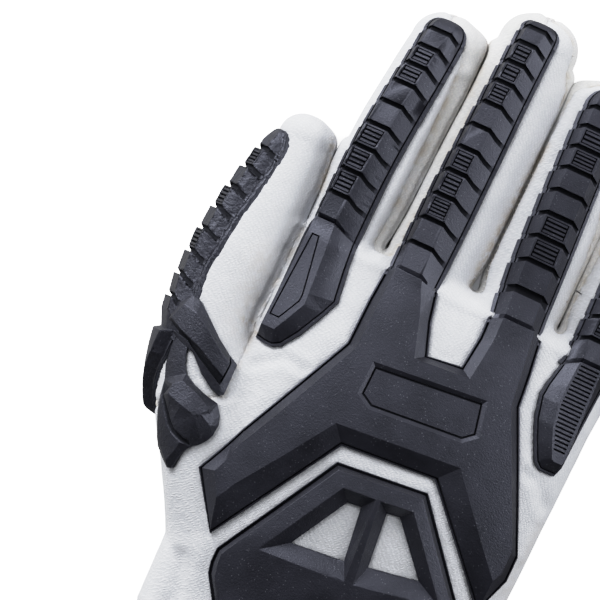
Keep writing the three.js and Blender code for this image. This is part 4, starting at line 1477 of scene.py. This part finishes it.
def rubber_material(name, grain_size, grain_height, pits):
    """Moulded rubber: satin black with a fine grain, a trace of lint, painted shade that turns its grooves
    near black, and pits where the mould is rough, painted darker as shade in them.
    """
    m = Nodes(name)
    m.fill(m.shader, {"IOR": 1.5, "Specular IOR Level": 0.55, "Specular Tint": RUBBER_TINT})
    cloud = m.noise(90, 4)
    lint = m.remap(m.cells(520), 0.03, 0.08, 0.22, 0.0)
    lint = m.math("MULTIPLY", lint, m.remap(m.noise(60, 2), 0.5, 0.62))
    colour = m.mix(m.remap(cloud, 0.3, 0.7), RUBBER_DARK, RUBBER_LIGHT)
    colour = m.mix(lint, colour, LINT)
    dust = m.remap(m.cells(900), 0.05, 0.22, 0.5, 0.0)
    dust = m.math("MULTIPLY", dust, m.remap(m.noise(260, 3, 0.6), 0.42, 0.58))
    colour = m.mix(dust, colour, DUST)
    # Painted shade: the rubber turns near black and fully rough in grooves, gutters and recesses
    black = m.remap(m.attribute("groove_shade"), 0.02, 0.45)
    colour = m.mix(black, colour, GROOVE_SHADE_BLACK)
    grain = m.noise(grain_size, 3, 0.65)
    if pits:
        # Pits: small dents in the bump, painted darker as shade in them
        hollow = m.remap(m.noise(900, 3, 0.6), 0.34, 0.5, 1.0, 0.0)
        colour = m.mix(m.math("MULTIPLY", hollow, pits), colour, PIT_SHADE_BLACK)
        grain = m.math("SUBTRACT", grain, m.math("MULTIPLY", hollow, 0.25))
    roughness = m.math("MAXIMUM", m.remap(cloud, 0.3, 0.7, 0.4, 0.49), black)
    m.links.new(roughness, m.shader.inputs["Roughness"])
    return m.finish(colour, grain, 0.6, grain_height)


# Camera, lights and floor
PHOTO_MIDDLE = (-33.2, 21.6)
PHOTO_TURN = 25.0
PHOTO_WIDTH = 180.0
CAMERA_HEIGHT = 800.0
AIM_HEIGHT = 30.0
# The studio's walls: the side that is bright, left and up in the photo, and their light at both ends
BRIGHT_SIDE = (-0.4, 0.9)
SKY_DIM = 0.1
SKY_BRIGHT = 1.2
SKY_START = -0.25
# How the photo's bright tones are drawn together: light in the scene and light in the picture
WHITE = 3.2
TONES = [(0.45, 0.45), (0.8, 0.7), (1.2, 0.82), (2.0, 0.91)]
# Lamps: name, direction in the photo's plane, height, distance and size in metres, and power in watts
LAMPS = [
    ("key", (-0.3, 0.95), 0.5, 0.75, 0.6, 6.4),
    ("low_key", (-0.5, 0.85), 0.26, 0.95, 0.6, 8.0),
    ("fill", (1.0, 0.1), 0.4, 0.85, 0.8, 10.0),
]
LAMP_TARGET = Vector((0, 0, 0.03))
# The floor glows white where it is open, and a painted shadow dims its glow where the glove stands over it
# within a short reach
FLOOR_SIZE = 6
FLOOR_SHADE = (0.88, 0.88, 0.88)
FLOOR_SHADOW_REACH = 0.03
FLOOR_FULL_SHADOW = 0.1
FLOOR_NO_SHADOW = 0.42
FLOOR_GLOW = 2.8


def image_direction(right, up):
    """A direction in the photo's plane as a direction on the floor."""
    turn = math.radians(PHOTO_TURN)
    sine, cosine = math.sin(turn), math.cos(turn)
    return Vector((right * cosine - up * sine, right * sine + up * cosine, 0))


def add_camera():
    data = bpy.data.cameras.new("camera")
    data.sensor_width = 36.0
    data.lens = data.sensor_width * CAMERA_HEIGHT / PHOTO_WIDTH
    data.clip_start = 0.05
    camera = add_object("camera", data)
    camera.location = (np.array([*PHOTO_MIDDLE, CAMERA_HEIGHT + AIM_HEIGHT]) + SHIFT) * MM
    camera.rotation_euler = (0, 0, math.radians(PHOTO_TURN))
    bpy.context.scene.camera = camera


def add_area(name, direction, height, distance, size, power):
    data = bpy.data.lights.new(name, "AREA")
    data.shape = "DISK"
    data.size = size
    data.energy = power
    light = add_object(name, data)
    away = image_direction(*direction).normalized() * distance
    light.location = LAMP_TARGET + away + Vector((0, 0, height))
    light.rotation_euler = (LAMP_TARGET - light.location).to_track_quat("-Z", "Y").to_euler()


def add_stage():
    for lamp in LAMPS:
        add_area(*lamp)
    world = bpy.data.worlds.new("studio")
    bpy.context.scene.world = world
    world.use_nodes = True
    tree = world.node_tree
    sky = tree.nodes["Background"]
    sky.inputs["Color"].default_value = (1, 1, 1, 1)
    side = tree.nodes.new("ShaderNodeVectorMath")
    side.operation = "DOT_PRODUCT"
    side.inputs[1].default_value = image_direction(*BRIGHT_SIDE).normalized()
    tree.links.new(tree.nodes.new("ShaderNodeTexCoord").outputs["Generated"], side.inputs[0])
    ramp = tree.nodes.new("ShaderNodeMapRange")
    for socket, value in zip(ramp.inputs[1:5], (SKY_START, 1, SKY_DIM, SKY_BRIGHT)):
        socket.default_value = value
    tree.links.new(side.outputs["Value"], ramp.inputs[0])
    tree.links.new(ramp.outputs[0], sky.inputs["Strength"])
    view = bpy.context.scene.view_settings
    view.view_transform = "Standard"
    view.use_curve_mapping = True
    view.curve_mapping.white_level = (WHITE, WHITE, WHITE)
    curve = view.curve_mapping.curves[3]
    for light, tone in TONES:
        curve.points.new(light / WHITE, tone)
    for point in list(curve.points)[:2]:
        point.handle_type = "VECTOR"
    view.curve_mapping.update()
    bpy.ops.mesh.primitive_plane_add(size=FLOOR_SIZE, location=(0, 0, 0))
    floor = bpy.context.object
    floor.name = "floor"
    stage = Nodes("floor")
    # Painted shadow: ambient occlusion under and between the glove's parts scales down the floor's glow
    cover = stage.add("AmbientOcclusion", {"Distance": FLOOR_SHADOW_REACH}).outputs["AO"]
    glow_with_painted_shadow = stage.remap(cover, FLOOR_FULL_SHADOW, FLOOR_NO_SHADOW, 0.0, FLOOR_GLOW)
    stage.fill(stage.shader, {"Base Color": FLOOR_SHADE, "Roughness": 0.95,
                              "Emission Color": (1.0, 1.0, 1.0), "Emission Strength": glow_with_painted_shadow})
    floor.data.materials.append(stage.material)
    floor.visible_glossy = False
    floor.visible_diffuse = False


add_camera()
add_stage()
shell_cloth = cloth_material("shell_cloth", (0.62, 0.635, 0.68), (0.56, 0.575, 0.615), 0.4)
side_cloth = cloth_material("side_cloth", (0.66, 0.66, 0.67), (0.6, 0.595, 0.58), 0.55)
thread = thread_material()
rubber = rubber_material("guard_rubber", 1700, 0.2, 0)
rough_rubber = rubber_material("rough_rubber", 1600, 0.26, 0.8)

guard_parts = guards()
all_points, all_faces = merge(*guard_parts.values())
guard_tree = BVHTree.FromPolygons(all_points[:, :3].tolist(), all_faces)
for node, (points, faces) in guard_parts.items():
    add_guard(node, points, faces)
shell_panels(guard_tree)
